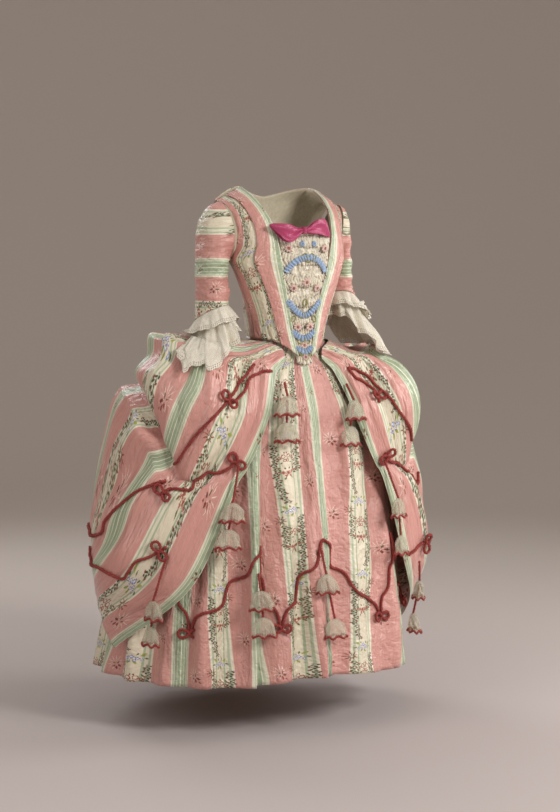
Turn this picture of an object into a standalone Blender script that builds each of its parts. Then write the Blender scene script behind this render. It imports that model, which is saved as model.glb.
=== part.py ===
"""A robe a la francaise with its petticoat, stomacher, bow and sleeve ruffles, as it is worn.

Metres, +Z up. The origin is the middle of the wearer's waist, which holds the garment up.
The front faces -Y and the wearer's right is at -X. A turn is an angle round the body in
degrees, 0 at the centre front and growing towards the wearer's right; a drop is a depth below
the waist. Every cloth is a thin wall round the empty space where the wearer stands.
"""

import math
from collections import namedtuple

import bmesh
import bpy
import numpy as np

# Driving sizes.
SILK = 0.0015  # wall of every silk panel
NET = 0.0012  # wall of the sleeve ruffles
SEAM = 0.0003  # gap between two pieces that are sewn together
HEM_DROP = 0.843  # petticoat hem below the waist
CORD = 0.0038  # radius of the chenille cord
CORD_SIDES = 4
CORD_STEP = 0.018  # between its rings
CORD_SAMPLES = 6  # taken of it for each point of its route
CORD_CLEAR = 0.0042  # between a cord and the cloth under it
KNOT = 0.011  # half the width of a cord's knot

RIGHT, LEFT = 1, -1  # the wearer's sides, as the sign of a turn
SIDES = ((RIGHT, "right"), (LEFT, "left"))
WAVE_STEPS = 3  # columns to a wave of a ruffle
RESTING_PASSES = 5  # rounds in which a ruffle is moved off the skirt under it

# Petticoat: rings from the waist to the hem.
Ring = namedtuple("Ring", "drop half_width front back")
PETTICOAT_RINGS = (
    Ring(0.00, 0.092, 0.057, 0.072),
    Ring(0.03, 0.130, 0.060, 0.115),
    Ring(0.08, 0.222, 0.076, 0.200),
    Ring(0.18, 0.295, 0.112, 0.305),
    Ring(0.35, 0.335, 0.136, 0.395),
    Ring(0.55, 0.363, 0.155, 0.475),
    Ring(0.84, 0.404, 0.175, 0.565),
)
FRONT_RISE = 0.020  # how much shorter the hem is at the centre front
# Its folds: where each ridge stands, how far it stands out and how far it leans to its side.
Fold = namedtuple("Fold", "turn depth lean")
PETTICOAT_FOLDS = (
    Fold(-180, 0.014, 0.000),
    Fold(-158, 0.012, 0.004),
    Fold(-139, 0.015, -0.004),
    Fold(-121, 0.011, 0.003),
    Fold(-104, 0.014, 0.006),
    Fold(-87, 0.010, 0.000),
    Fold(-70, 0.012, 0.006),
    Fold(-45, 0.013, -0.016),
    Fold(-20, 0.004, 0.000),
    Fold(3, 0.013, -0.024),
    Fold(16, 0.003, 0.000),
    Fold(29, 0.012, -0.022),
    Fold(44, 0.006, 0.000),
    Fold(59, 0.009, 0.004),
    Fold(76, 0.012, -0.004),
    Fold(94, 0.010, 0.003),
    Fold(112, 0.013, 0.000),
    Fold(128, 0.011, 0.005),
    Fold(145, 0.015, -0.003),
    Fold(162, 0.012, 0.003),
)
FOLD_STEPS = 5  # columns to a fold
FOLD_GROWTH = 0.7  # how a fold deepens on its way down
FOLD_LEAST = 0.001
PETTICOAT_DROPS = (0.0, 0.035, 0.09, 0.19, 0.36, 0.58, HEM_DROP)  # of its rows of points

# Robe skirts: one row for each length of cloth from the front edge (0) to the centre back (1).
# Turns say where it lies at the waist, on the upper puff, at the tuck under it, on the lower
# puff and at the hem; an out is a distance over the petticoat.
Length = namedtuple(
    "Length",
    "across waist_turn puff_turn tuck_turn lower_turn hem_turn waist_up waist_out rise_up crest_up crest_out"
    " puff_drop puff_out tuck_drop tuck tuck_out swell_out lower_out hem_drop hem_out",
)
ROBE_LENGTHS = (
    Length(0.00, 17, 22, 31, 50, 82, -0.048, 0.014, -0.062, -0.080, 0.014, 0.160, 0.017, 0.310, 0.000,
           0.024, 0.027, 0.036, 0.765, 0.036),
    Length(0.08, 25, 38, 57, 77, 92, -0.025, 0.016, -0.044, -0.066, 0.032, 0.190, 0.060, 0.345, 0.006,
           0.052, 0.070, 0.108, 0.675, 0.055),
    Length(0.165, 35, 55, 69, 97, 112, -0.015, 0.016, -0.036, -0.056, 0.062, 0.140, 0.100, 0.245, 0.028,
           0.060, 0.082, 0.094, 0.600, 0.055),
    Length(0.25, 47, 73, 82, 110, 124, -0.009, 0.014, -0.034, -0.044, 0.098, 0.090, 0.132, 0.152, 0.034,
           0.052, 0.102, 0.094, 0.575, 0.058),
    Length(0.40, 69, 95, 100, 122, 134, -0.004, 0.013, -0.020, -0.006, 0.158, 0.060, 0.165, 0.104, 0.034,
           0.050, 0.118, 0.090, 0.570, 0.058),
    Length(0.60, 99, 114, 119, 134, 142, -0.002, 0.012, 0.004, 0.032, 0.185, 0.045, 0.176, 0.091, 0.034,
           0.058, 0.145, 0.090, 0.570, 0.060),
    Length(0.80, 135, 143, 146, 150, 154, -0.002, 0.012, -0.002, 0.005, 0.155, 0.075, 0.165, 0.115, 0.034,
           0.085, 0.150, 0.095, 0.570, 0.065),
    Length(1.00, 180, 180, 180, 180, 180, -0.002, 0.120, -0.030, -0.055, 0.155, 0.110, 0.155, 0.145, 0.034,
           0.095, 0.150, 0.100, 0.570, 0.070),
)
# The wearer's left puff is drawn in and hangs lower than the right one.
Slack = namedtuple("Slack", "across out_share lower")
LEFT_SLACK = (
    Slack(0.00, 1.00, 0.000),
    Slack(0.165, 1.00, 0.000),
    Slack(0.30, 0.78, 0.008),
    Slack(0.60, 0.72, 0.030),
    Slack(1.00, 1.00, 0.000),
)

# Bodice front: from the edge at the stomacher (inner) to the side seam and the armhole (outer),
# for the wearer's left; rounding is how far the cloth swells out between the two.
Front = namedtuple("Front", "inner_x inner_y inner_z outer_x outer_y outer_z rounding")
FRONT_ROWS = (
    Front(0.018, -0.0775, -0.045, 0.100, 0.000, -0.001, 0.014),
    Front(0.026, -0.0700, 0.000, 0.104, 0.002, 0.040, 0.016),
    Front(0.038, -0.0680, 0.070, 0.117, 0.008, 0.095, 0.022),
    Front(0.053, -0.0730, 0.135, 0.134, 0.022, 0.155, 0.030),
    Front(0.065, -0.0780, 0.190, 0.146, 0.038, 0.192, 0.034),
    Front(0.075, -0.0750, 0.240, 0.149, 0.004, 0.225, 0.020),
    Front(0.083, -0.0600, 0.283, 0.151, -0.005, 0.262, 0.010),
    Front(0.092, -0.0300, 0.320, 0.157, 0.004, 0.302, 0.006),
    Front(0.098, 0.0150, 0.352, 0.165, 0.033, 0.331, 0.004),
    Front(0.100, 0.0700, 0.377, 0.170, 0.072, 0.343, 0.003),
)
ROBING_WIDTH = 0.36  # of the way from the inner to the outer edge, at the waist
ROBING_TOP_WIDTH = 0.62
ROBING_STAND = 0.0035  # its face over the bodice's
DIP_HEIGHT = 0.15  # of the bodice front, in which its lower edge dips to the point

# Fitted back: rows from the waist to the shoulder seams and the neck; rise lifts the row at the
# neck's corners, and yoke flattens it there towards the shoulder seam.
Back = namedtuple("Back", "half_x side_y side_z mid_y mid_z rise yoke")
BACK_ROWS = (
    Back(0.100, 0.0010, -0.001, 0.083, -0.001, 0.000, 0.0),
    Back(0.104, 0.0030, 0.040, 0.084, 0.045, 0.000, 0.0),
    Back(0.117, 0.0090, 0.095, 0.095, 0.110, 0.000, 0.0),
    Back(0.134, 0.0230, 0.155, 0.112, 0.170, 0.000, 0.0),
    Back(0.147, 0.0410, 0.192, 0.127, 0.225, 0.000, 0.0),
    Back(0.151, 0.0850, 0.225, 0.135, 0.265, 0.002, 0.0),
    Back(0.153, 0.1080, 0.265, 0.139, 0.295, 0.008, 0.1),
    Back(0.160, 0.1060, 0.305, 0.138, 0.325, 0.016, 0.4),
    Back(0.170, 0.0745, 0.343, 0.134, 0.352, 0.028, 1.0),
)
NECK_CORNER = 0.4  # where the neck's corner stands, as a share of a row's half

# Sack: its rows above the waist, from the neck down. Its edges lie on the fitted back, whose
# rows up counts; stand is how far its middle stands off that back.
Sack = namedtuple("Sack", "up half_x stand pleat")
SACK_ROWS = (
    Sack(0.99, 0.074, 0.0045, 0.001),
    Sack(0.92, 0.077, 0.007, 0.003),
    Sack(0.84, 0.080, 0.012, 0.004),
    Sack(0.73, 0.083, 0.020, 0.006),
    Sack(0.62, 0.084, 0.030, 0.007),
    Sack(0.50, 0.083, 0.045, 0.008),
    Sack(0.38, 0.080, 0.063, 0.009),
    Sack(0.27, 0.077, 0.080, 0.010),
    Sack(0.16, 0.073, 0.097, 0.010),
)
SACK_LIFT = 0.005  # of its edges over the fitted back
SACK_PLEATS = 4
SACK_SHARE = 0.20  # of each robe half
SACK_GAP = 0.0015  # seam between the sack and the robe skirts, as a share of a robe half
SACK_RIPPLE = 0.010  # depth of its pleats below the waist
SACK_COLUMNS = 20
ROBE_COLUMNS = 22
ROBE_ACROSS = (1 - SACK_SHARE) * np.linspace(0, 1, ROBE_COLUMNS) ** 1.35
ROBE_DOWN = (0, 0.04, 0.10, 0.18, 0.25, 0.32, 0.38, 0.42, 0.455, 0.472, 0.49, 0.515, 0.54, 0.62, 0.72, 0.82, 0.91, 1)

# Sleeve: rings from the armhole to the elbow, on the wearer's left. The arms are carried to the
# wearer's right by sway; the left sleeve is tighter by slim and its end higher by lift. Tilt
# lowers a ring's back, and hollow draws its sides in to the armhole.
Sleeve = namedtuple("Sleeve", "out_x out_z in_x in_z mid_y half_y sway slim tilt hollow lift")
SLEEVE_ROWS = (
    Sleeve(0.1720, 0.338, 0.1487, 0.196, 0.052, 0.054, 0.000, 0.000, 0.000, 0.0045, 0.000),
    Sleeve(0.1950, 0.326, 0.1520, 0.194, 0.053, 0.056, 0.000, 0.008, 0.000, 0.0020, 0.000),
    Sleeve(0.2160, 0.290, 0.1530, 0.186, 0.055, 0.057, 0.001, 0.020, 0.000, 0.0000, 0.000),
    Sleeve(0.2220, 0.235, 0.1500, 0.166, 0.055, 0.056, 0.002, 0.022, 0.000, 0.0000, 0.000),
    Sleeve(0.2220, 0.170, 0.1470, 0.130, 0.052, 0.054, 0.006, 0.016, 0.005, 0.0000, 0.005),
    Sleeve(0.2215, 0.105, 0.1455, 0.098, 0.046, 0.053, 0.010, 0.008, 0.012, 0.0000, 0.018),
    Sleeve(0.2230, 0.052, 0.1440, 0.072, 0.040, 0.053, 0.014, 0.000, 0.020, 0.0000, 0.034),
)

RUFFLE_DROP = 0.0005  # of a ruffle's top below its sleeve's end, over the seam's gap
# Ruffles at a sleeve's end. For angles round it from the outer side through the back: how far
# the net leans out and forwards as it falls, and how long it is.
Fall = namedtuple("Fall", "angle lean forward length")
Tier = namedtuple("Tier", "waves wave inset gap rows falls")
TIERS = (
    ("sleeve_frill", Tier(11, 0.0040, 0.000, 0.029, (0, 0.35, 0.7, 1), (
        Fall(0, 0.62, 0.30, 0.056),
        Fall(45, 0.62, 0.15, 0.052),
        Fall(90, 0.60, 0.00, 0.038),
        Fall(135, 0.45, 0.10, 0.034),
        Fall(180, 0.35, 0.40, 0.036),
        Fall(225, 0.45, 0.45, 0.040),
        Fall(270, 0.50, 0.30, 0.046),
        Fall(315, 0.60, 0.30, 0.052),
        Fall(360, 0.62, 0.30, 0.056),
    ))),
    ("engageante", Tier(9, 0.0075, 0.009, 0.022, (0, 0.25, 0.5, 0.75, 1), (
        Fall(0, 0.38, 0.40, 0.172),
        Fall(45, 0.35, 0.22, 0.105),
        Fall(90, 0.30, 0.05, 0.050),
        Fall(135, 0.20, 0.15, 0.050),
        Fall(180, 0.15, 0.50, 0.060),
        Fall(225, 0.25, 0.50, 0.075),
        Fall(270, 0.35, 0.25, 0.110),
        Fall(315, 0.40, 0.32, 0.155),
        Fall(360, 0.38, 0.40, 0.172),
    ))),
)

SATIN = 0.0012  # ribbon of the breast bow
BOW_MIDDLE = np.array((-0.012, -0.103, 0.266))
BOW_LOOPS = ((LEFT, 0.084, 0.10), (RIGHT, 0.074, -0.06))  # side, length and slope
BOW_HEIGHT = 0.046
BOW_KNOT_HEIGHT = 0.022
BOW_DEPTH = 0.010
BOW_START = 0.008  # of a loop, from the bow's middle
BOW_CURVE = 3.4  # how a loop bends back round the breast
BOW_KNOT_HALF = 0.0068

# Chenille cords on the robe skirts: where each one runs, as places across and down them.
Cord = namedtuple("Cord", "name side route")
ROBE_CORDS = (
    Cord("robe_cord_upper_right", RIGHT, (
        (0.100, 0.268), (0.092, 0.255), (0.103, 0.240), (0.113, 0.226), (0.095, 0.206), (0.062, 0.203),
        (0.085, 0.180), (0.140, 0.190), (0.138, 0.222), (0.126, 0.250), (0.125, 0.282), (0.125, 0.310),
        (0.130, 0.345), (0.130, 0.375), (0.122, 0.400),
    )),
    Cord("robe_cord_side_right", RIGHT, (
        (0.110, 0.500), (0.115, 0.527), (0.120, 0.560), (0.128, 0.603), (0.133, 0.647), (0.134, 0.690),
        (0.130, 0.720), (0.170, 0.800), (0.235, 0.830),
    )),
    Cord("robe_cord_middle_right", RIGHT, (
        (0.025, 0.408), (0.028, 0.425), (0.036, 0.442), (0.060, 0.435), (0.062, 0.463), (0.058, 0.512),
        (0.078, 0.505), (0.092, 0.515), (0.093, 0.552),
    )),
    Cord("robe_cord_lower_right", RIGHT, (
        (0.043, 0.675), (0.052, 0.698), (0.060, 0.713), (0.060, 0.745), (0.060, 0.770), (0.075, 0.772),
        (0.095, 0.780), (0.122, 0.833), (0.160, 0.845),
    )),
    Cord("robe_cord_upper_left", LEFT, (
        (0.072, 0.285), (0.083, 0.262), (0.077, 0.245), (0.062, 0.233), (0.045, 0.218), (0.055, 0.195),
        (0.088, 0.210), (0.104, 0.232), (0.108, 0.262), (0.110, 0.307), (0.118, 0.343), (0.125, 0.378),
    )),
    Cord("robe_cord_middle_left", LEFT, (
        (0.028, 0.408), (0.031, 0.440), (0.052, 0.430), (0.050, 0.500), (0.074, 0.505), (0.068, 0.540),
        (0.090, 0.565), (0.120, 0.570),
    )),
    Cord("robe_cord_lower_left", LEFT, (
        (0.008, 0.722), (0.022, 0.712), (0.037, 0.708), (0.055, 0.715), (0.075, 0.745), (0.100, 0.740),
    )),
)
# The petticoat's cord hangs in points all round: turn and drop of each peak and knot, and the
# steps by which it comes down from a peak (0, 0) to a knot (1, 1).
PETTICOAT_CORD = (
    (-173, 0.700), (-147, 0.500), (-138, 0.700), (-112, 0.500), (-103, 0.700), (-77, 0.500),
    (-68, 0.700), (-42, 0.500), (-33, 0.703), (2, 0.495), (17, 0.706), (26, 0.500), (52, 0.713),
    (61, 0.500), (87, 0.700), (96, 0.500), (122, 0.700), (131, 0.500), (157, 0.700), (166, 0.500),
)
CORD_STEPS = ((0.00, 0.00), (0.12, 0.12), (0.20, 0.32), (0.38, 0.42), (0.50, 0.66), (0.76, 0.76), (0.90, 0.86))

# Tassels: two gauze bells on a cord, from the top point to the bottom one, a gap between them.
Tassel = namedtuple("Tassel", "name top bottom gap")
TASSELS = (
    Tassel("tassel_waist_right", (-0.068, -0.095, -0.105), (-0.083, -0.130, -0.250), 0.010),
    Tassel("tassel_waist_left", (0.098, -0.085, -0.112), (0.094, -0.125, -0.265), 0.010),
    Tassel("tassel_edge_right", (-0.210, -0.120, -0.302), (-0.237, -0.110, -0.500), 0.010),
    Tassel("tassel_edge_left", (0.207, -0.110, -0.305), (0.236, -0.095, -0.548), 0.042),
    Tassel("tassel_side_right", (-0.375, -0.055, -0.525), (-0.368, 0.000, -0.735), 0.010),
    Tassel("tassel_side_left", (0.342, -0.080, -0.577), (0.360, -0.020, -0.765), 0.036),
    Tassel("tassel_front_right", (-0.170, -0.145, -0.560), (-0.160, -0.155, -0.715), 0.010),
    Tassel("tassel_front", (-0.016, -0.172, -0.503), (0.024, -0.175, -0.727), 0.055),
)
BELL_LENGTH = 0.054
# A bell's outline: how far along its length from its top, and its half width.
BELL_OUTLINE = ((0.00, 0.0030), (0.06, 0.0120), (0.40, 0.0230), (0.90, 0.0300), (1.00, 0.0270))
BELL_FLATNESS = 0.42  # of its half width, which is its half thickness
TASSEL_CORD = 0.0028
TASSEL_CLEAR = 0.004  # between a tassel and the cloth under it
TASSEL_STEP = 0.001  # by which a bell is moved out
TASSEL_MOST = 0.050  # that it is moved
TASSEL_SIDES = 6
TASSEL_TURN = 0.35  # how far it faces to the side: 0 is straight to the front, 1 straight out

Panel = namedtuple("Panel", "height half_x mid_y edge_y")
STOMACHER_ROWS = (
    Panel(0.262, 0.086, -0.088, -0.0600),
    Panel(0.200, 0.076, -0.089, -0.0700),
    Panel(0.120, 0.060, -0.077, -0.0640),
    Panel(0.050, 0.046, -0.068, -0.0610),
    Panel(0.000, 0.035, -0.067, -0.0635),
    Panel(-0.030, 0.026, -0.071, -0.0690),
    Panel(-0.062, 0.018, -0.079, -0.0775),
)


def smooth(at, keys, values):
    """Values between the keys, on a cubic that never passes beyond its two neighbours."""
    keys, values = np.asarray(keys, float), np.asarray(values, float)
    shape = (-1,) + (1,) * (values.ndim - 1)
    step = np.diff(keys).reshape(shape)
    rise = np.diff(values, axis=0) / step
    slope = np.concatenate([rise[:1], np.zeros_like(rise[1:]), rise[-1:]])
    same = rise[1:] * rise[:-1] > 0
    total = np.where(same, rise[1:] + rise[:-1], 1.0)
    slope[1:-1] = np.where(same, 2 * rise[1:] * rise[:-1] / total, 0.0)
    at = np.asarray(at, float)
    i = np.clip(np.searchsorted(keys, at, side="right") - 1, 0, len(keys) - 2)
    step = step[i].reshape(at.shape + shape[1:])
    f = np.clip((at - keys[i]) / (keys[i + 1] - keys[i]), 0, 1).reshape(at.shape + shape[1:])
    return (
        (1 + 2 * f) * (1 - f) ** 2 * values[i]
        + f * (1 - f) ** 2 * step * slope[i]
        + f * f * (3 - 2 * f) * values[i + 1]
        - f * f * (1 - f) * step * slope[i + 1]
    )


def column(rows, name):
    return np.array([getattr(row, name) for row in rows], float)


def ring_point(turn, drop, out=0.0, aside=0.0):
    """A point over the petticoat's plain form: out is away from it, aside along it."""
    drops = column(PETTICOAT_RINGS, "drop")
    half, front, back = (
        smooth(drop, drops, column(PETTICOAT_RINGS, name)) for name in ("half_width", "front", "back")
    )
    depth, middle = (front + back) / 2, (back - front) / 2
    angle = np.radians(turn)
    across, along = -np.sin(angle), -np.cos(angle)
    normal = np.stack([across / half, along / depth], -1)
    normal /= np.linalg.norm(normal, axis=-1, keepdims=True)
    tangent = np.stack([normal[..., 1], -normal[..., 0]], -1)
    plan = np.stack([half * across, middle + depth * along], -1)
    return plan + normal * np.asarray(out)[..., None] + tangent * np.asarray(aside)[..., None]


def placed(plan, height):
    height = np.broadcast_to(height, plan.shape[:-1])
    return np.concatenate([plan, height[..., None]], -1)


def fold_phase_turn(phase):
    """The turn at a phase that counts folds from the first ridge."""
    turns = column(PETTICOAT_FOLDS, "turn")
    turns = np.append(turns, turns[0] + 360)
    return np.interp(phase, np.arange(len(turns)), turns)


def hem_rise(turn, drop):
    """How much higher the petticoat hangs at the centre front, growing to its hem."""
    return FRONT_RISE * np.exp(-((turn / 22) ** 2)) * (drop / HEM_DROP) ** 2


def petticoat(phase, drop):
    """The petticoat's outer face."""
    count = len(PETTICOAT_FOLDS)
    keys = np.arange(-1, count + 2)
    depth = column(PETTICOAT_FOLDS, "depth")[keys % count]
    lean = column(PETTICOAT_FOLDS, "lean")[keys % count]
    wave = np.cos(2 * np.pi * phase)
    grown = drop / HEM_DROP
    turn = fold_phase_turn(phase)
    out = (smooth(phase, keys, depth) * grown**FOLD_GROWTH + FOLD_LEAST) * wave
    aside = smooth(phase, keys, lean) * grown * wave
    return placed(ring_point(turn, drop, out, aside), hem_rise(turn, drop) - drop)


def robe(across, down, side):
    """The robe skirts' outer face: across from the front edge (0) to the centre back (1) and
    down from the waist (0) to the hem (1)."""
    keys = column(ROBE_LENGTHS, "across")
    at = {name: smooth(across, keys, column(ROBE_LENGTHS, name)) for name in Length._fields}

    def mixed(first, second, share):
        return at[first] * (1 - share) + at[second] * share

    if side == LEFT:
        places = column(LEFT_SLACK, "across")
        share, lower = (smooth(across, places, column(LEFT_SLACK, name)) for name in ("out_share", "lower"))
        at["crest_out"] = at["crest_out"] * share
        at["puff_out"] = at["puff_out"] * share
        at["rise_up"] = at["rise_up"] - lower
        at["crest_up"] = at["crest_up"] - lower
        at["puff_drop"] = at["puff_drop"] + lower
    # A tuck folds the cloth under the puff's lip, up behind it and out again below it.
    tuck = at["tuck"]
    lip_drop = at["tuck_drop"] - 0.030 + 1.25 * tuck
    inner_drop = at["tuck_drop"] - 0.010 - 0.1 * tuck
    outer_drop = at["tuck_drop"] + 0.008 + 0.35 * tuck
    swell_drop = at["tuck_drop"] + 0.024 + 0.3 * tuck
    lip_out = mixed("puff_out", "tuck_out", 0.7)
    inner_out = mixed("puff_out", "tuck_out", 0.85) - 0.75 * tuck
    shallow = np.clip(1 - tuck / 0.015, 0, 1)
    outer_out = lip_out + (at["swell_out"] - lip_out) * 0.5 * shallow
    lower_drop = mixed("tuck_drop", "hem_drop", 0.62)
    # Each place down the cloth: its turn, the drop of the petticoat's ring beneath, its distance
    # over that ring and its height.
    stations = (
        (0.00, at["waist_turn"], -at["waist_up"], at["waist_out"], at["waist_up"]),
        (0.08, mixed("waist_turn", "puff_turn", 0.3), np.maximum(0.012, -at["rise_up"]),
         mixed("waist_out", "crest_out", 0.5), at["rise_up"]),
        (0.18, mixed("waist_turn", "puff_turn", 0.7), np.maximum(0.035, -at["crest_up"]), at["crest_out"],
         at["crest_up"]),
        (0.31, at["puff_turn"], at["puff_drop"], at["puff_out"], -at["puff_drop"]),
        (0.42, mixed("puff_turn", "tuck_turn", 0.8), lip_drop, lip_out, -lip_drop),
        (0.455, at["tuck_turn"], inner_drop, inner_out, -inner_drop),
        (0.49, mixed("tuck_turn", "lower_turn", 0.08), outer_drop, outer_out, -outer_drop),
        (0.54, mixed("tuck_turn", "lower_turn", 0.18), swell_drop, at["swell_out"], -swell_drop),
        (0.75, at["lower_turn"], lower_drop, at["lower_out"], -lower_drop),
        (1.00, at["hem_turn"], at["hem_drop"], at["hem_out"], -at["hem_drop"]),
    )
    down = np.broadcast_to(down, across.shape)
    places = np.array([row[0] for row in stations])
    stack = np.stack([np.stack(np.broadcast_arrays(*row[1:]), -1) for row in stations])
    turn, beneath, out, height = np.moveaxis(smooth_columns(down, places, stack), -1, 0)
    pleat = SACK_RIPPLE * np.cos(SACK_PLEATS * np.pi * (1 - across) / SACK_SHARE)
    pleat *= np.clip((across - 1 + SACK_SHARE) / 0.04, 0, 1)
    return placed(ring_point(side * turn, beneath, out + pleat), height)


def smooth_columns(at, keys, stack):
    """Like smooth, where each place has its own row of values in the stack."""
    flat_at = at.reshape(-1)
    flat = stack.reshape(len(keys), flat_at.size, -1)
    result = np.empty((flat_at.size, flat.shape[-1]))
    for place in np.unique(flat_at):
        chosen = flat_at == place
        result[chosen] = smooth(place, keys, flat[:, chosen])
    return result.reshape(at.shape + (stack.shape[-1],))


def rows_at(rows, places):
    """A table's columns at places from 0 at its first row to 1 at its last."""
    keys = np.linspace(0, 1, len(rows))
    return {name: smooth(places, keys, column(rows, name)) for name in rows[0]._fields}


def bodice_front(up, across):
    """The left front: up from the waist (0) to the shoulder (1), across from the inner edge."""
    at = rows_at(FRONT_ROWS, up)
    inner = np.stack([at["inner_x"], at["inner_y"], at["inner_z"]], -1)
    outer = np.stack([at["outer_x"], at["outer_y"], at["outer_z"]], -1)
    chord = outer - inner
    swell = np.stack([chord[..., 1], -chord[..., 0], 0 * chord[..., 0]], -1)
    swell /= np.linalg.norm(swell, axis=-1, keepdims=True)
    middle = (inner + outer) / 2 + 2 * at["rounding"][..., None] * swell
    f = across[..., None]
    points = (1 - f) ** 2 * inner + 2 * f * (1 - f) * middle + f * f * outer
    # The lowest rows dip to a point only near the inner edge.
    dip = (1 - across - (1 - across) ** 3) * np.clip(1 - up / DIP_HEIGHT, 0, 1)
    points[..., 2] -= dip * (at["inner_z"] - at["outer_z"])
    return points


def bodice_back(up, across):
    """The fitted back: up from the waist, across from the right side seam (-1) to the left (1)."""
    at = rows_at(BACK_ROWS, up)
    round_bend = np.cos(across * np.pi / 2)
    neck_bend = np.clip(1 - (across / NECK_CORNER) ** 2, 0, 1)
    bend = round_bend * (1 - at["yoke"]) + neck_bend * at["yoke"]
    x = at["half_x"] * np.sin(across * np.pi / 2)
    y = at["side_y"] + (at["mid_y"] - at["side_y"]) * bend
    z = at["mid_z"] + (at["side_z"] - at["mid_z"]) * across**2
    z = z + at["rise"] * np.exp(-(((np.abs(across) - NECK_CORNER) / 0.3) ** 2))
    return np.stack([x, y, z], -1)


def faced(grid, distance):
    """The grid moved along its own normals."""
    down = np.gradient(grid, axis=0)
    along = np.gradient(grid, axis=1)
    normal = np.cross(along, down)
    normal /= np.linalg.norm(normal, axis=-1, keepdims=True)
    return grid + distance * normal


def mirrored(grid):
    """The wearer's right of a grid made for the left, its face still outwards."""
    return (grid * (-1, 1, 1))[:, ::-1]


def sleeve(along, round_it, side=LEFT):
    """A sleeve's outer face, turned to the left: along from the armhole to the elbow, round
    from the top through the back."""
    at = rows_at(SLEEVE_ROWS, along)
    angle = round_it * 2 * np.pi
    outwards = (1 + np.cos(angle)) / 2
    only_left = 1 if side == LEFT else 0
    out_x = at["out_x"] - at["slim"] * only_left
    x = at["in_x"] + (out_x - at["in_x"]) * outwards + at["sway"] * side
    x = x - at["hollow"] * np.sin(angle) ** 2
    z = at["in_z"] + (at["out_z"] - at["in_z"]) * outwards - at["tilt"] * np.sin(angle)
    y = at["mid_y"] + at["half_y"] * np.sin(angle)
    return np.stack([x, y, z + at["lift"] * only_left], -1)


def cloth(name, grid, thickness, material, round_it=False):
    """A panel: a grid of points whose rows run down and whose columns run round the body from the
    wearer's left by the front to the right; its wall lies inside that face."""
    rows, columns = grid.shape[:2]
    shape = bmesh.new()
    points = [[shape.verts.new(point) for point in row] for row in grid]
    for i in range(rows - 1):
        for j in range(columns if round_it else columns - 1):
            k = (j + 1) % columns
            shape.faces.new((points[i][j], points[i][k], points[i + 1][k], points[i + 1][j]))
    mesh = bpy.data.meshes.new(name)
    shape.to_mesh(mesh)
    shape.free()
    mesh.shade_smooth()
    mesh.materials.append(material)
    obj = bpy.data.objects.new(name, mesh)
    wall = obj.modifiers.new("wall", "SOLIDIFY")
    wall.thickness = thickness
    wall.offset = -1
    PARTS.objects.link(obj)
    return obj


def silk(name, colour, roughness=0.45):
    material = bpy.data.materials.new(name)
    material.use_nodes = True
    shader = material.node_tree.nodes["Principled BSDF"]
    shader.inputs["Base Color"].default_value = (*colour, 1)
    shader.inputs["Roughness"].default_value = roughness
    return material


for old in list(bpy.data.objects):
    bpy.data.objects.remove(old)
PARTS = bpy.data.collections.new("robe_a_la_francaise")
bpy.context.scene.collection.children.link(PARTS)

STRIPED = silk("striped silk", (0.72, 0.42, 0.38))
CREAM = silk("ruched cream silk", (0.80, 0.74, 0.62), 0.6)
NET_CLOTH = silk("cream net", (0.83, 0.79, 0.68), 0.8)
MAGENTA = silk("magenta satin", (0.60, 0.10, 0.22), 0.35)
CHENILLE = silk("red chenille", (0.35, 0.04, 0.04), 0.9)


def grid_of(places_down, places_across):
    across, down = np.meshgrid(places_across, places_down)
    return across, down


def make_petticoat():
    count = len(PETTICOAT_FOLDS) * FOLD_STEPS
    phase, drop = grid_of(PETTICOAT_DROPS, np.arange(count) / FOLD_STEPS)
    cloth("petticoat", petticoat(phase, drop), SILK, STRIPED, True)


def robe_grid(side):
    """The points of a robe skirt, from its front edge to the sack."""
    across, down = grid_of(ROBE_DOWN, ROBE_ACROSS)
    return robe(across, down, side)


def make_robe_skirts():
    cloth("robe_skirt_right", robe_grid(RIGHT), SILK, STRIPED)
    cloth("robe_skirt_left", robe_grid(LEFT)[:, ::-1], SILK, STRIPED)


def make_robe_back():
    half = np.linspace(1 - SACK_SHARE + SACK_GAP, 1, SACK_COLUMNS // 2 + 1)
    across, down = grid_of(ROBE_DOWN, half)
    right = robe(across, down, RIGHT)
    left = robe(across, down, LEFT)
    lower = np.concatenate([left, right[:, -2::-1]], 1)
    share = np.linspace(1, -1, lower.shape[1])
    box = 1 - np.abs(share) ** 3
    upper = []
    for row in SACK_ROWS:
        up = np.full_like(share, row.up)
        half = rows_at(BACK_ROWS, np.array([row.up]))["half_x"]
        place = np.arcsin(share * row.half_x / half) * 2 / np.pi
        points = bodice_back(up, place)
        pleat = row.pleat * (np.cos(SACK_PLEATS * np.pi * share) - 1) * box
        points[:, 1] += SACK_LIFT + row.stand * box + pleat
        upper.append(points)
    cloth("robe_back", np.concatenate([np.array(upper), lower])[:, ::-1], SILK, STRIPED)


def make_bodice():
    across, up = grid_of(np.linspace(1, 0, 11), np.linspace(0.988, 0, 8))
    front = bodice_front(up, across)
    cloth("bodice_front_left", front, SILK, STRIPED)
    cloth("bodice_front_right", mirrored(front), SILK, STRIPED)
    across, up = grid_of(np.linspace(1, 0, 9), np.linspace(-1, 1, 13))
    cloth("bodice_back", bodice_back(up, across), SILK, STRIPED)


def make_robings():
    across, up = grid_of(np.linspace(0.99, 0, 11), np.linspace(1, 0, 5))
    width = ROBING_WIDTH + (ROBING_TOP_WIDTH - ROBING_WIDTH) * up**2
    band = faced(bodice_front(up, across * width), ROBING_STAND)
    cloth("robing_left", band, SILK, STRIPED)
    cloth("robing_right", mirrored(band), SILK, STRIPED)


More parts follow.
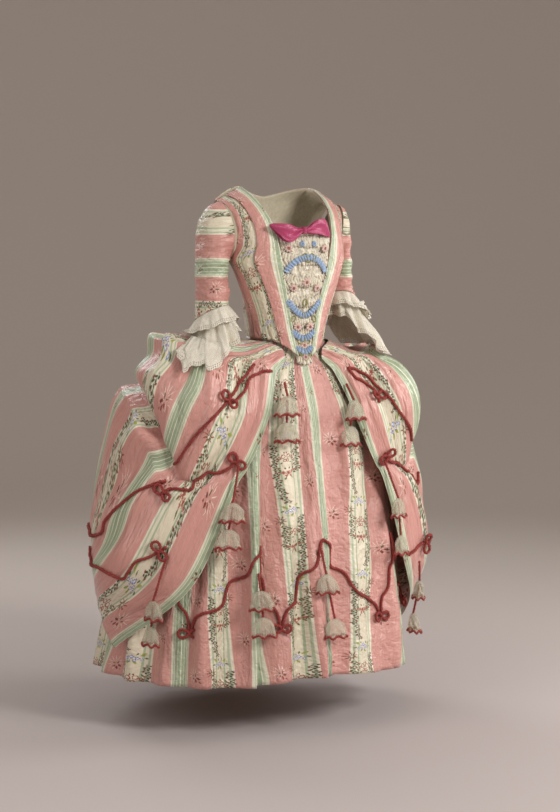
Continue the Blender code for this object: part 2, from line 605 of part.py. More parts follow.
def make_stomacher():
    across, up = grid_of(np.linspace(0, 1, 8), np.linspace(1, -1, 9))
    at = rows_at(STOMACHER_ROWS, up)
    y = at["mid_y"] + (at["edge_y"] - at["mid_y"]) * across**2
    cloth("stomacher", np.stack([at["half_x"] * across, y, at["height"]], -1), SILK, CREAM)


def on_side(points, side):
    """A left-hand ring of cloth, placed on the side asked for, with its face outwards."""
    points = points[:, ::-1]
    return points if side == LEFT else mirrored(points)


def make_sleeves():
    round_it, along = grid_of(np.linspace(0, 1, 9), np.arange(16) / 16)
    for side, word in SIDES:
        cloth(f"sleeve_{word}", on_side(sleeve(along, round_it, side), side), SILK, STRIPED, True)


def normals_of(grid):
    normal = np.cross(np.gradient(grid, axis=0), np.gradient(grid, axis=1))
    return normal / (np.linalg.norm(normal, axis=-1, keepdims=True) + 1e-12)


def resting(points, cover, outward, gap):
    """The points, each moved out to lie at least a gap over the cloth beneath it."""
    flat = points.reshape(-1, 3).copy()
    for _ in range(RESTING_PASSES):
        for point in flat:
            near = np.argmin(((cover - point) ** 2).sum(-1))
            depth = gap - (point - cover[near]) @ outward[near]
            if depth > 0:
                point += depth * outward[near]
    return flat.reshape(points.shape)


def ruffle(side, tier, cover, outward):
    """A ruffle round a sleeve's end: rows from its seam to its edge."""
    count = tier.waves * WAVE_STEPS
    round_it, down = grid_of(tier.rows, np.arange(count) / count)
    seam = sleeve(np.ones_like(down), round_it, side)
    radial = (seam - seam.mean(axis=(0, 1))) * (1, 1, 0)
    radial /= np.linalg.norm(radial, axis=-1, keepdims=True)
    angles = column(tier.falls, "angle")
    lean, forward, length = (
        smooth(round_it * 360, angles, column(tier.falls, name))[..., None]
        for name in ("lean", "forward", "length")
    )
    fall = radial * lean - (0, 1, 0) * forward
    fall = fall - (0, 0, 1) * np.sqrt(np.clip(1 - lean**2 - forward**2, 0.1, 1))
    wave = tier.wave * np.cos(2 * np.pi * tier.waves * round_it)[..., None]
    down = down[..., None]
    points = seam + radial * (wave * down - tier.inset) + fall * length * down
    points = points - (0, 0, SEAM + RUFFLE_DROP)
    return resting(points, cover, outward, tier.gap)


def make_ruffles():
    across, down = grid_of(np.linspace(0, 0.4, 50), np.linspace(0.02, 0.95, 110))
    for side, word in SIDES:
        cover = robe(across, down, side) * (-side, 1, 1)
        outward = normals_of(cover)
        cover, outward = cover.reshape(-1, 3), outward.reshape(-1, 3)
        for name, tier in TIERS:
            points = ruffle(side, tier, cover, outward)
            cloth(f"{name}_{word}", on_side(points, side), NET, NET_CLOTH, True)


def make_bow():
    """Two loops of folded ribbon and the knot round their middle."""
    turn, share = grid_of(np.linspace(1, -1, 3), np.arange(10) / 10 * 2 * np.pi)
    outward = (1 - np.cos(turn)) / 2  # 0 at the knot, 1 at the loop's end
    knot_half = BOW_KNOT_HEIGHT / 2
    for side, length, slope in BOW_LOOPS:
        half = knot_half + (BOW_HEIGHT / 2 - knot_half) * outward
        x = BOW_START + (length - BOW_START) * outward
        y = BOW_DEPTH * np.sin(turn) * (0.35 + 0.65 * outward) + BOW_CURVE * x**2
        loop = np.stack([x, y, half * share + slope * x], -1)
        loop = on_side(loop, side) + BOW_MIDDLE
        cloth(f"bow_loop_{'left' if side == LEFT else 'right'}", loop, SATIN, MAGENTA, True)
    knot = np.stack([BOW_KNOT_HALF * np.cos(turn), BOW_DEPTH * 0.7 * np.sin(turn), knot_half * 1.15 * share], -1)
    cloth("bow_knot", (knot + BOW_MIDDLE)[:, ::-1], SATIN, MAGENTA, True)


def on_grid(grid, down_keys, across_keys, down, across):
    """Points of a coarse grid and the directions outwards there, at places down and across."""
    i = np.clip(np.searchsorted(down_keys, down, side="right") - 1, 0, len(down_keys) - 2)
    j = np.clip(np.searchsorted(across_keys, across, side="right") - 1, 0, len(across_keys) - 2)
    down_keys, across_keys = np.asarray(down_keys), np.asarray(across_keys)
    f = ((down - down_keys[i]) / (down_keys[i + 1] - down_keys[i]))[:, None]
    g = ((across - across_keys[j]) / (across_keys[j + 1] - across_keys[j]))[:, None]

    def between(values):
        near = values[i, j] * (1 - g) + values[i, j + 1] * g
        far = values[i + 1, j] * (1 - g) + values[i + 1, j + 1] * g
        return near * (1 - f) + far * f

    outward = between(normals_of(grid))
    return between(grid), outward / np.linalg.norm(outward, axis=-1, keepdims=True)


def curve_through(points, samples):
    """A smooth curve through the points, as that many samples of it."""
    points = np.asarray(points, float)
    steps = np.arange(len(points))
    slopes = np.gradient(points, axis=0)
    at = np.linspace(0, len(points) - 1, samples)
    i = np.minimum(at.astype(int), len(points) - 2)
    f = (at - steps[i])[:, None]
    return (
        (1 + 2 * f) * (1 - f) ** 2 * points[i]
        + f * (1 - f) ** 2 * slopes[i]
        + f * f * (3 - 2 * f) * points[i + 1]
        - f * f * (1 - f) * slopes[i + 1]
    )


def tube(name, path, outward, half_width, half_thickness, material, sides, closed=False):
    """A round or flattened cord along a path, its thickness along outward."""
    if closed:
        along = np.roll(path, -1, axis=0) - np.roll(path, 1, axis=0)
    else:
        along = np.gradient(path, axis=0)
    along /= np.linalg.norm(along, axis=-1, keepdims=True)
    aside = np.cross(along, outward)
    aside /= np.linalg.norm(aside, axis=-1, keepdims=True)
    up = np.cross(aside, along)
    count = len(path)
    half_width = np.broadcast_to(half_width, count)[:, None]
    half_thickness = np.broadcast_to(half_thickness, count)[:, None]
    shape = bmesh.new()
    rings = []
    for side in range(sides):
        angle = 2 * np.pi * (side + 0.5) / sides
        line = path + aside * half_width * math.cos(angle) + up * half_thickness * math.sin(angle)
        rings.append([shape.verts.new(point) for point in line])
    for k in range(count if closed else count - 1):
        after = (k + 1) % count
        for side in range(sides):
            first, second = rings[side], rings[(side + 1) % sides]
            shape.faces.new((first[k], first[after], second[after], second[k]))
    if not closed:
        shape.faces.new([ring[0] for ring in rings])
        shape.faces.new([ring[-1] for ring in reversed(rings)])
    mesh = bpy.data.meshes.new(name)
    shape.to_mesh(mesh)
    shape.free()
    mesh.materials.append(material)
    PARTS.objects.link(bpy.data.objects.new(name, mesh))


def make_robe_cords():
    for cord in ROBE_CORDS:
        grid = robe_grid(cord.side)
        samples = CORD_SAMPLES * len(cord.route)
        across, down = curve_through(cord.route, samples).T
        path, _ = on_grid(grid, ROBE_DOWN, ROBE_ACROSS, down, across)
        length = np.linalg.norm(np.diff(path, axis=0), axis=-1).sum()
        measured = np.append(0, np.cumsum(np.linalg.norm(np.diff(path, axis=0), axis=-1)))
        even = np.linspace(0, length, int(length / CORD_STEP) + 1)
        across, down = np.interp(even, measured, across), np.interp(even, measured, down)
        path, outward = on_grid(grid, ROBE_DOWN, ROBE_ACROSS, down, across)
        outward = outward * -cord.side
        path = path + outward * (CORD + CORD_CLEAR)
        wide = np.full(len(path), CORD)
        wide[1] = KNOT
        tube(cord.name, path, outward, wide, CORD, CHENILLE, CORD_SIDES)


def petticoat_cord_path(finer=1):
    """The points of the petticoat's cord, and the directions outwards there."""
    turns, drops = [], []
    rows = PETTICOAT_CORD + ((PETTICOAT_CORD[0][0] + 360, PETTICOAT_CORD[0][1]),)
    for (turn, drop), (next_turn, next_drop) in zip(rows, rows[1:]):
        steps = CORD_STEPS
        if next_drop < drop:
            steps = ((0, 0),) + tuple((1 - share, 1 - fall) for share, fall in CORD_STEPS[:0:-1])
        turns += [turn + (next_turn - turn) * share for share, _ in steps]
        drops += [drop + (next_drop - drop) * fall for _, fall in steps]
    turns, drops = np.array(turns + [rows[-1][0]]), np.array(drops + [rows[-1][1]])
    at = np.arange(finer * (len(turns) - 1)) / finer
    turns, drops = (np.interp(at, np.arange(len(values)), values) for values in (turns, drops))
    keys = column(PETTICOAT_FOLDS, "turn")
    depths = np.interp((turns + 180) % 360 - 180, keys, column(PETTICOAT_FOLDS, "depth"))
    out = depths * (drops / HEM_DROP) ** FOLD_GROWTH + FOLD_LEAST + CORD + CORD_CLEAR
    rise = hem_rise((turns + 180) % 360 - 180, drops)
    path = placed(ring_point(turns, drops, out), rise - drops)
    outward = np.stack([-np.sin(np.radians(turns)), -np.cos(np.radians(turns)), 0 * turns], -1)
    return path, outward


def make_petticoat_cord():
    path, outward = petticoat_cord_path()
    tube("petticoat_cord", path, outward, CORD, CORD, CHENILLE, CORD_SIDES, True)


def skirt_cover():
    """Points all over the front of the skirts and the directions outwards there."""
    phase, drop = grid_of(np.linspace(0.05, HEM_DROP, 50), np.linspace(5, 14, 240))
    across, down = grid_of(np.linspace(0.05, 1, 110), np.linspace(0, 0.3, 50))
    grids = (
        (petticoat(phase, drop), -1),
        (robe(across, down, RIGHT), -1),
        (robe(across, down, LEFT), 1),
    )
    cover = np.concatenate([grid.reshape(-1, 3) for grid, _ in grids])
    outward = np.concatenate([(normals_of(grid) * sign).reshape(-1, 3) for grid, sign in grids])
    cord, facing = petticoat_cord_path(4)
    return np.concatenate([cover, cord + facing * CORD]), np.concatenate([outward, facing])


def make_tassels():
    cover, outward = skirt_cover()
    for tassel in TASSELS:
        top, bottom = np.array(tassel.top), np.array(tassel.bottom)
        length = np.linalg.norm(bottom - top)
        places, wide = [0.0], [TASSEL_CORD]
        for start in (length - 2 * BELL_LENGTH - tassel.gap, length - BELL_LENGTH):
            for share, half in BELL_OUTLINE:
                places.append(start + share * BELL_LENGTH)
                wide.append(half)
        places, wide = np.array(places) / length, np.array(wide)
        path = top + (bottom - top) * places[:, None]
        facing = np.stack([path[:, 0] * TASSEL_TURN, path[:, 1], 0 * wide], -1)
        facing /= np.linalg.norm(facing, axis=-1, keepdims=True)
        aside = np.stack([-facing[:, 1], facing[:, 0], 0 * wide], -1)
        thick = np.maximum(wide * BELL_FLATNESS, TASSEL_CORD)
        bells = (slice(0, 1), slice(1, 1 + len(BELL_OUTLINE)), slice(1 + len(BELL_OUTLINE), None))
        for bell in bells:
            spots = list(zip(path[bell], aside[bell] * wide[bell, None], thick[bell]))
            moved = 0.0
            while min(clearance(spot + moved * facing[bell][0], reach, cover, outward) - half
                      for spot, reach, half in spots) < TASSEL_CLEAR and moved < TASSEL_MOST:
                moved += TASSEL_STEP
            path[bell] += moved * facing[bell][0]
        tube(tassel.name, path, facing, wide, thick, NET_CLOTH, TASSEL_SIDES)


def clearance(point, reach, cover, outward):
    """How far a point, and those a reach to each side of it, lie over the cloth."""
    least = np.inf
    for probe in (point, point - reach, point + reach):
        near = np.argmin(((cover - probe) ** 2).sum(-1))
        least = min(least, (probe - cover[near]) @ outward[near])
    return least


make_petticoat()
make_robe_skirts()
make_robe_back()
make_bodice()
make_robings()
make_stomacher()
make_sleeves()
make_ruffles()
make_bow()
make_robe_cords()
make_petticoat_cord()
make_tassels()
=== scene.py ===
"""Looks of a robe a la francaise in striped, flowered silk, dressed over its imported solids.

Metres, +Z up, the front towards -Y and the wearer's right at -X; the origin is the middle of the
wearer's waist. A turn is an angle round the body in degrees, 0 at the centre front and growing
towards the wearer's right. A drop is a depth below the waist. Every cloth has a UV map named
"cloth" in metres of the silk before it was sewn: u across the stripes, v down the warp.
"""

from __future__ import annotations

import logging
import math
from dataclasses import dataclass, field
from enum import Enum
from functools import partialmethod
from typing import Callable, ClassVar, Iterator, NamedTuple, Sequence, TypeVar

import bpy
import numpy as np
from bpy.types import ID, Material, Node, NodeSocket, NodeTree, Object
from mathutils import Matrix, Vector
from mathutils.kdtree import KDTree

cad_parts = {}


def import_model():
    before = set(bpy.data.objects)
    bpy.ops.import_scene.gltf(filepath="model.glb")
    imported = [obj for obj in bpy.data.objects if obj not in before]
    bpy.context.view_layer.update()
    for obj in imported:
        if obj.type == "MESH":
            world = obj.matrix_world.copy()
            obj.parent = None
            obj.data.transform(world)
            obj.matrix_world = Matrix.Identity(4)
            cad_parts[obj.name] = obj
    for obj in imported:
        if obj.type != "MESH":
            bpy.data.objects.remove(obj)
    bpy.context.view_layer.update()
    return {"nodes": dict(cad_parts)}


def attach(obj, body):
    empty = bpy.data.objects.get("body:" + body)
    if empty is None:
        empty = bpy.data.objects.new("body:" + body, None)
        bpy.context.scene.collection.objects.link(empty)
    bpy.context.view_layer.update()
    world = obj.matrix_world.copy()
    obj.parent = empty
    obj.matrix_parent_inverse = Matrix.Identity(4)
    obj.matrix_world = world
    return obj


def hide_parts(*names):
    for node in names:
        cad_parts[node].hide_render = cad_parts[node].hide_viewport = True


LOG = logging.getLogger("robe")
Grid = np.ndarray
Colour = tuple[float, float, float, float]
Layer = tuple[float, float, float, int]
Line = tuple[Grid, bool]
Rows = tuple[tuple[float, ...], ...]

SILK_WALL = 0.0013
NET_WALL = 0.0008
SATIN_WALL = 0.0010
THIN_WALL = 0.0005  # of the tassels' gauze and of thin ribbon
CORD_STEP = 0.004  # between the points of a cord's line
FUR_DENSITY = 130000.0  # hairs of chenille on a square metre
HEM_DROP = 0.843
FLOOR = -0.97
FULL_TURN = 2 * math.pi
UV_NAME = "cloth"


class Side(Enum):
    """A side of the wearer, as the sign of its turns."""

    RIGHT = 1
    LEFT = -1

    @property
    def word(self) -> str:
        """The side's name in the names of pieces."""
        return self.name.lower()


class Ring(NamedTuple):
    """A level of the petticoat's plain form."""

    drop: float
    half_width: float
    front: float
    back: float


class Fold(NamedTuple):
    """A fold of the petticoat: where it stands, how deep it is and how far it leans."""

    turn: float
    depth: float
    lean: float


class Length(NamedTuple):
    """A length of the robe skirts' cloth, at a place across them."""

    across: float
    waist_turn: float
    puff_turn: float
    tuck_turn: float
    lower_turn: float
    hem_turn: float
    waist_up: float
    waist_out: float
    rise_up: float
    crest_up: float
    crest_out: float
    puff_drop: float
    puff_out: float
    tuck_drop: float
    tuck: float
    tuck_out: float
    swell_out: float
    lower_out: float
    hem_drop: float
    hem_out: float


class Slack(NamedTuple):
    """How the wearer's left puff differs from the right one."""

    across: float
    out_share: float
    lower: float


class Front(NamedTuple):
    """A row of the bodice front, from its inner to its outer edge."""

    inner_x: float
    inner_y: float
    inner_z: float
    outer_x: float
    outer_y: float
    outer_z: float
    rounding: float


class Back(NamedTuple):
    """A row of the fitted back."""

    half_x: float
    side_y: float
    side_z: float
    mid_y: float
    mid_z: float
    rise: float
    yoke: float


class Sack(NamedTuple):
    """A row of the sack above the waist."""

    up: float
    half_x: float
    stand: float
    pleat: float


class Sleeve(NamedTuple):
    """A ring of a sleeve."""

    out_x: float
    out_z: float
    in_x: float
    in_z: float
    mid_y: float
    half_y: float
    sway: float
    slim: float
    tilt: float
    hollow: float
    lift: float


class Fall(NamedTuple):
    """How a ruffle falls at one of the even angles round its sleeve, from the outer side."""

    lean: float
    forward: float
    length: float


class Panel(NamedTuple):
    """A row of the stomacher."""

    height: float
    half_x: float
    mid_y: float
    edge_y: float


class Tier(NamedTuple):
    """A ruffle: its waves and their depth, its inset, its gap over the skirt, its grid, its cut."""

    name: str
    waves: int
    wave: float
    inset: float
    gap: float
    rows: int
    steps: int
    flat: tuple[float, float]
    area: float
    falls: tuple[Fall, ...]


class Crease(NamedTuple):
    """A ridge, or a trough where its height is below zero, between two places on the flat cloth.

    Its profile is steeper on one side: above zero on the side of greater u.
    """

    u: float
    v: float
    end_u: float
    end_v: float
    height: float
    width: float
    steep: float = 0.0


class Route(NamedTuple):
    """Where a cord runs on a robe skirt, as places across and down it, and where its knots are."""

    name: str
    side: Side
    knots: tuple[float, ...]
    points: Rows
    branch: Rows = ()


Row = TypeVar("Row", bound=NamedTuple)


def rows_of(kind: type[Row], *rows: Sequence[float]) -> tuple[Row, ...]:
    """A table's rows, each made of its numbers in order."""
    return tuple(kind(*row) for row in rows)


PETTICOAT_RINGS = rows_of(Ring,
    (0.0, 0.092, 0.057, 0.072), (0.03, 0.13, 0.06, 0.115), (0.08, 0.222, 0.076, 0.2),
    (0.18, 0.295, 0.112, 0.305), (0.35, 0.335, 0.136, 0.395), (0.55, 0.363, 0.155, 0.475),
    (0.84, 0.404, 0.175, 0.565))
FRONT_RISE = 0.020
FRONT_RISE_WIDTH = 22  # of a turn, over which the hem rises at the front
PETTICOAT_FOLDS = rows_of(Fold,
    (-180, 0.014, 0.0), (-158, 0.012, 0.004), (-139, 0.015, -0.004), (-121, 0.011, 0.003),
    (-104, 0.014, 0.006), (-87, 0.01, 0.0), (-70, 0.012, 0.006), (-45, 0.013, -0.016),
    (-20, 0.004, 0.0), (3, 0.013, -0.024), (16, 0.003, 0.0), (29, 0.012, -0.022), (44, 0.006, 0.0),
    (59, 0.009, 0.004), (76, 0.012, -0.004), (94, 0.01, 0.003), (112, 0.013, 0.0),
    (128, 0.011, 0.005), (145, 0.015, -0.003), (162, 0.012, 0.003))
FOLD_GROWTH = 0.7  # how a fold deepens on its way down
FOLD_LEAST = 0.001

ROBE_LENGTHS = rows_of(Length,
    (0.0, 17, 22, 31, 50, 82, -0.048, 0.014, -0.062, -0.08, 0.014, 0.16, 0.017, 0.31, 0.0, 0.024,
     0.027, 0.036, 0.765, 0.036),
    (0.08, 25, 38, 57, 77, 92, -0.025, 0.016, -0.044, -0.066, 0.032, 0.19, 0.06, 0.345, 0.006,
     0.052, 0.07, 0.108, 0.675, 0.055),
    (0.165, 35, 55, 69, 97, 112, -0.015, 0.016, -0.036, -0.056, 0.062, 0.14, 0.1, 0.245, 0.028,
     0.06, 0.082, 0.094, 0.6, 0.055),
    (0.25, 47, 73, 82, 110, 124, -0.009, 0.014, -0.034, -0.044, 0.098, 0.09, 0.132, 0.152, 0.034,
     0.052, 0.102, 0.094, 0.575, 0.058),
    (0.4, 69, 95, 100, 122, 134, -0.004, 0.013, -0.02, -0.006, 0.164, 0.06, 0.165, 0.104, 0.034,
     0.05, 0.118, 0.09, 0.57, 0.058),
    (0.6, 99, 114, 119, 134, 142, -0.002, 0.012, -0.006, 0.004, 0.194, 0.045, 0.176, 0.091, 0.034,
     0.058, 0.145, 0.09, 0.57, 0.06),
    (0.8, 135, 143, 146, 150, 154, -0.002, 0.012, -0.002, 0.005, 0.155, 0.075, 0.165, 0.115, 0.034,
     0.085, 0.15, 0.095, 0.57, 0.065),
    (1.0, 180, 180, 180, 180, 180, -0.002, 0.12, -0.03, -0.055, 0.155, 0.11, 0.155, 0.145, 0.034,
     0.095, 0.15, 0.1, 0.57, 0.07))
# The tuck's lip, inner fold, outer fold and swell: the drop past the tuck's own, and the share of
# the tuck's height that is added to it.
TUCK_PROFILE = ((-0.030, 1.25), (-0.010, -0.1), (0.008, 0.35), (0.024, 0.3))
SHALLOW_TUCK = 0.015  # a tuck's height under which the cloth below it stands out less
RISE_DROP = 0.012  # the least drops at which the form is read under the rise and the crest
CREST_DROP = 0.035
LEFT_SLACK = rows_of(Slack,
    (0.0, 1.0, 0.0), (0.165, 1.0, 0.0), (0.3, 0.78, 0.008), (0.6, 0.72, 0.03), (1.0, 1.0, 0.0))

FRONT_ROWS = rows_of(Front,
    (0.018, -0.0775, -0.045, 0.1, 0.0, -0.001, 0.014),
    (0.026, -0.07, 0.0, 0.104, 0.002, 0.04, 0.016),
    (0.038, -0.068, 0.07, 0.117, 0.008, 0.095, 0.022),
    (0.053, -0.073, 0.135, 0.134, 0.022, 0.155, 0.03),
    (0.065, -0.078, 0.19, 0.146, 0.038, 0.192, 0.034),
    (0.075, -0.075, 0.24, 0.149, 0.004, 0.225, 0.02),
    (0.083, -0.06, 0.283, 0.151, -0.005, 0.262, 0.01),
    (0.092, -0.03, 0.32, 0.157, 0.004, 0.302, 0.006),
    (0.098, 0.015, 0.352, 0.165, 0.033, 0.331, 0.004),
    (0.1, 0.07, 0.377, 0.17, 0.072, 0.343, 0.003))
ROBING_WIDTH = 0.36  # of the way from the inner to the outer edge, at the waist
ROBING_TOP_WIDTH = 0.62
ROBING_STAND = 0.0035  # its face over the bodice's
DIP_HEIGHT = 0.15  # of the bodice front, in which its lower edge dips to the point
BACK_ROWS = rows_of(Back,
    (0.1, 0.001, -0.001, 0.083, -0.001, 0.0, 0.0), (0.104, 0.003, 0.04, 0.084, 0.045, 0.0, 0.0),
    (0.117, 0.009, 0.095, 0.095, 0.11, 0.0, 0.0), (0.134, 0.023, 0.155, 0.112, 0.17, 0.0, 0.0),
    (0.147, 0.041, 0.192, 0.127, 0.225, 0.0, 0.0), (0.151, 0.085, 0.225, 0.135, 0.265, 0.002, 0.0),
    (0.153, 0.108, 0.265, 0.139, 0.295, 0.008, 0.1), (0.16, 0.106, 0.305, 0.138, 0.325, 0.016, 0.4),
    (0.17, 0.0745, 0.343, 0.134, 0.352, 0.028, 1.0))
NECK_CORNER = 0.4
NECK_SOFTNESS = 0.3

SACK_ROWS = rows_of(Sack,
    (0.99, 0.074, 0.0045, 0.001), (0.92, 0.077, 0.007, 0.003), (0.84, 0.08, 0.012, 0.004),
    (0.73, 0.083, 0.02, 0.006), (0.62, 0.084, 0.03, 0.007), (0.5, 0.083, 0.045, 0.008),
    (0.38, 0.08, 0.063, 0.009), (0.27, 0.077, 0.08, 0.01), (0.16, 0.073, 0.097, 0.01))
SACK_LIFT = 0.005
SACK_PLEATS = 4
SACK_SHARE = 0.20
SACK_GAP = 0.0015
SACK_RIPPLE = 0.010
SACK_FADE = 0.04  # of the way across, over which its pleats begin

SLEEVE_ROWS = rows_of(Sleeve,
    (0.172, 0.338, 0.1487, 0.196, 0.052, 0.054, 0.0, 0.0, 0.0, 0.0045, 0.0),
    (0.195, 0.326, 0.152, 0.194, 0.053, 0.056, 0.0, 0.008, 0.0, 0.002, 0.0),
    (0.216, 0.29, 0.153, 0.186, 0.055, 0.057, 0.001, 0.02, 0.0, 0.0, 0.0),
    (0.222, 0.235, 0.15, 0.166, 0.055, 0.056, 0.002, 0.022, 0.0, 0.0, 0.0),
    (0.222, 0.17, 0.147, 0.13, 0.052, 0.054, 0.006, 0.016, 0.005, 0.0, 0.005),
    (0.2215, 0.105, 0.1455, 0.098, 0.046, 0.053, 0.01, 0.008, 0.012, 0.0, 0.018),
    (0.223, 0.052, 0.144, 0.072, 0.04, 0.053, 0.014, 0.0, 0.02, 0.0, 0.034))

STOMACHER_ROWS = rows_of(Panel,
    (0.262, 0.086, -0.088, -0.06), (0.2, 0.076, -0.089, -0.07), (0.12, 0.06, -0.077, -0.064),
    (0.05, 0.046, -0.068, -0.061), (0.0, 0.035, -0.067, -0.0635), (-0.03, 0.026, -0.071, -0.069),
    (-0.062, 0.018, -0.079, -0.0775))

SEAM_DROP = 0.0008  # of a ruffle's top below its sleeve's end
TIERS = (
    Tier("sleeve_frill", 13, 0.0042, 0.0, 0.025, 18, 13, (0.56, 0.056), 0.0235, rows_of(Fall,
        (0.62, 0.3, 0.056), (0.62, 0.15, 0.052), (0.6, 0.0, 0.038), (0.45, 0.1, 0.034),
        (0.35, 0.4, 0.036), (0.45, 0.45, 0.04), (0.5, 0.3, 0.046), (0.6, 0.3, 0.052))),
    Tier("engageante", 10, 0.0095, 0.009, 0.018, 44, 18, (0.50, 0.172), 0.055, rows_of(Fall,
        (0.38, 0.4, 0.172), (0.35, 0.22, 0.105), (0.3, 0.05, 0.05), (0.2, 0.15, 0.05),
        (0.15, 0.5, 0.06), (0.25, 0.5, 0.075), (0.35, 0.25, 0.11), (0.4, 0.32, 0.155))),
)

CORD_ROUTES = (
    Route("robe_cord_upper_right", Side.RIGHT, (0.43,), (
        (0.118, 0.177), (0.108, 0.213), (0.113, 0.24), (0.12, 0.28), (0.125, 0.312), (0.133, 0.352),
        (0.134, 0.385), (0.125, 0.43),
    ), (
        (0.03, 0.19), (0.072, 0.208), (0.092, 0.223), (0.088, 0.247), (0.095, 0.265),
        (0.112, 0.283),
    )),
    Route("robe_cord_side_right", Side.RIGHT, (), (
        (0.11, 0.5), (0.115, 0.527), (0.12, 0.56), (0.128, 0.603), (0.133, 0.647), (0.134, 0.69),
        (0.13, 0.72), (0.17, 0.8), (0.235, 0.83),
    )),
    Route("robe_cord_middle_right", Side.RIGHT, (0.03, 0.97), (
        (0.025, 0.408), (0.028, 0.425), (0.036, 0.442), (0.06, 0.435), (0.062, 0.463),
        (0.058, 0.512), (0.078, 0.505), (0.092, 0.515), (0.093, 0.552),
    )),
    Route("robe_cord_lower_right", Side.RIGHT, (0.05,), (
        (0.043, 0.675), (0.052, 0.698), (0.06, 0.713), (0.06, 0.745), (0.06, 0.77), (0.075, 0.772),
        (0.095, 0.78), (0.122, 0.833), (0.16, 0.845),
    )),
    Route("robe_cord_upper_left", Side.LEFT, (0.06,), (
        (0.072, 0.285), (0.083, 0.262), (0.077, 0.245), (0.062, 0.233), (0.045, 0.218),
        (0.055, 0.195), (0.088, 0.21), (0.104, 0.232), (0.108, 0.262), (0.11, 0.307),
        (0.118, 0.343), (0.125, 0.378),
    )),
    Route("robe_cord_middle_left", Side.LEFT, (0.04,), (
        (0.028, 0.408), (0.031, 0.44), (0.052, 0.43), (0.05, 0.5), (0.074, 0.505), (0.068, 0.54),
        (0.09, 0.565), (0.12, 0.57),
    )),
    Route("robe_cord_lower_left", Side.LEFT, (0.42,), (
        (0.008, 0.722), (0.022, 0.712), (0.037, 0.708), (0.055, 0.715), (0.075, 0.745), (0.1, 0.74),
    )),
)
PETTICOAT_POINTS = (
    (-173, 0.7), (-147, 0.5), (-138, 0.7), (-112, 0.5), (-103, 0.7), (-77, 0.5), (-68, 0.7),
    (-42, 0.5), (-33, 0.703), (2, 0.495), (17, 0.706), (26, 0.5), (52, 0.713), (61, 0.5), (87, 0.7),
    (96, 0.5), (122, 0.7), (131, 0.5), (157, 0.7), (166, 0.5),
)
POINT_STEPS = (
    (0.0, 0.0), (0.12, 0.12), (0.2, 0.32), (0.38, 0.42), (0.5, 0.66), (0.76, 0.76), (0.9, 0.86),
)

# The tassels' nodes and the gap between each one's two bells.
TASSELS = (
    ("tassel_waist_right", 0.01), ("tassel_waist_left", 0.01), ("tassel_edge_right", 0.01),
    ("tassel_edge_left", 0.042), ("tassel_side_right", 0.01), ("tassel_side_left", 0.036),
    ("tassel_front_right", 0.01), ("tassel_front", 0.055),
)

CREASE_END = 0.35  # of a crease's length, over which it fades at each end
# Folds of the petticoat's cloth: those in front, then similar ones round the sides and back.
PETTICOAT_CREASES = rows_of(Crease,
    (-0.228, 0.18, -0.238, 0.84, 0.0156, 0.022, 0.7),
    (-0.071, 0.34, -0.066, 0.62, 0.0137, 0.02, 0.5),
    (-0.066, 0.52, -0.072, 0.88, 0.0195, 0.022, 0.7), (-0.122, 0.28, -0.119, 0.5, 0.0117, 0.03),
    (0.172, 0.34, 0.198, 0.72, 0.0156, 0.018, 0.6), (0.198, 0.6, 0.199, 0.88, 0.0175, 0.02, 0.6),
    (0.156, 0.22, 0.16, 0.52, -0.0137, 0.014), (-0.07, 0.2, -0.076, 0.5, -0.0097, 0.013),
    (0.07, 0.1, 0.083, 0.44, 0.0137, 0.016, -0.6), (-0.373, 0.56, -0.386, 0.88, 0.0137, 0.022, 0.5),
    (-0.28, 0.38, -0.287, 0.86, -0.0117, 0.018), (-0.135, 0.1, -0.158, 0.48, -0.0097, 0.014),
    (-0.097, 0.48, -0.1, 0.88, -0.0137, 0.013), (0.088, 0.4, 0.092, 0.88, 0.0097, 0.016, 0.4),
    (-0.449, 0.64, -0.457, 0.88, 0.0117, 0.018, -0.4), (0.02, 0.3, 0.012, 0.64, 0.0078, 0.016, 0.3),
    (-0.02, 0.62, -0.03, 0.88, -0.0097, 0.014), (0.135, 0.54, 0.14, 0.88, -0.0117, 0.015),
    (0.3, 0.3, 0.31, 0.82, 0.0156, 0.022, 0.5), (0.38, 0.45, 0.39, 0.88, -0.0137, 0.018),
    (0.47, 0.2, 0.48, 0.72, 0.0137, 0.024, -0.5), (0.58, 0.4, 0.57, 0.88, 0.0175, 0.022, 0.6),
    (0.69, 0.25, 0.7, 0.68, -0.0137, 0.02), (0.8, 0.35, 0.81, 0.88, 0.0156, 0.02, 0.5),
    (0.93, 0.2, 0.92, 0.72, 0.0137, 0.024, -0.5), (1.05, 0.4, 1.06, 0.88, 0.0156, 0.022, 0.4),
    (1.18, 0.3, 1.17, 0.78, -0.0137, 0.02), (-0.56, 0.3, -0.57, 0.88, 0.0156, 0.022, -0.6),
    (-0.66, 0.42, -0.65, 0.82, -0.0137, 0.018), (-0.77, 0.25, -0.78, 0.78, 0.0137, 0.024, 0.5),
    (-0.9, 0.4, -0.89, 0.88, 0.0175, 0.022, -0.5), (-1.02, 0.3, -1.03, 0.72, -0.0137, 0.02),
    (-1.14, 0.35, -1.13, 0.88, 0.0156, 0.022, 0.6), (-1.27, 0.3, -1.26, 0.82, 0.0137, 0.02, -0.4))
BACK_CREASES = rows_of(Crease,
    (0.5, 0.05, 0.46, 0.3, 0.0105, 0.026, -0.4), (0.56, 0.15, 0.55, 0.42, -0.009, 0.022),
    (0.62, 0.05, 0.61, 0.34, 0.0105, 0.026, 0.5), (0.5, 0.5, 0.42, 0.74, 0.0105, 0.024, 0.4),
    (0.6, 0.5, 0.57, 0.82, 0.0105, 0.024, -0.5), (0.54, 0.62, 0.5, 0.92, -0.009, 0.02),
    (0.4, 0.55, 0.34, 0.78, 0.0105, 0.022, 0.3))
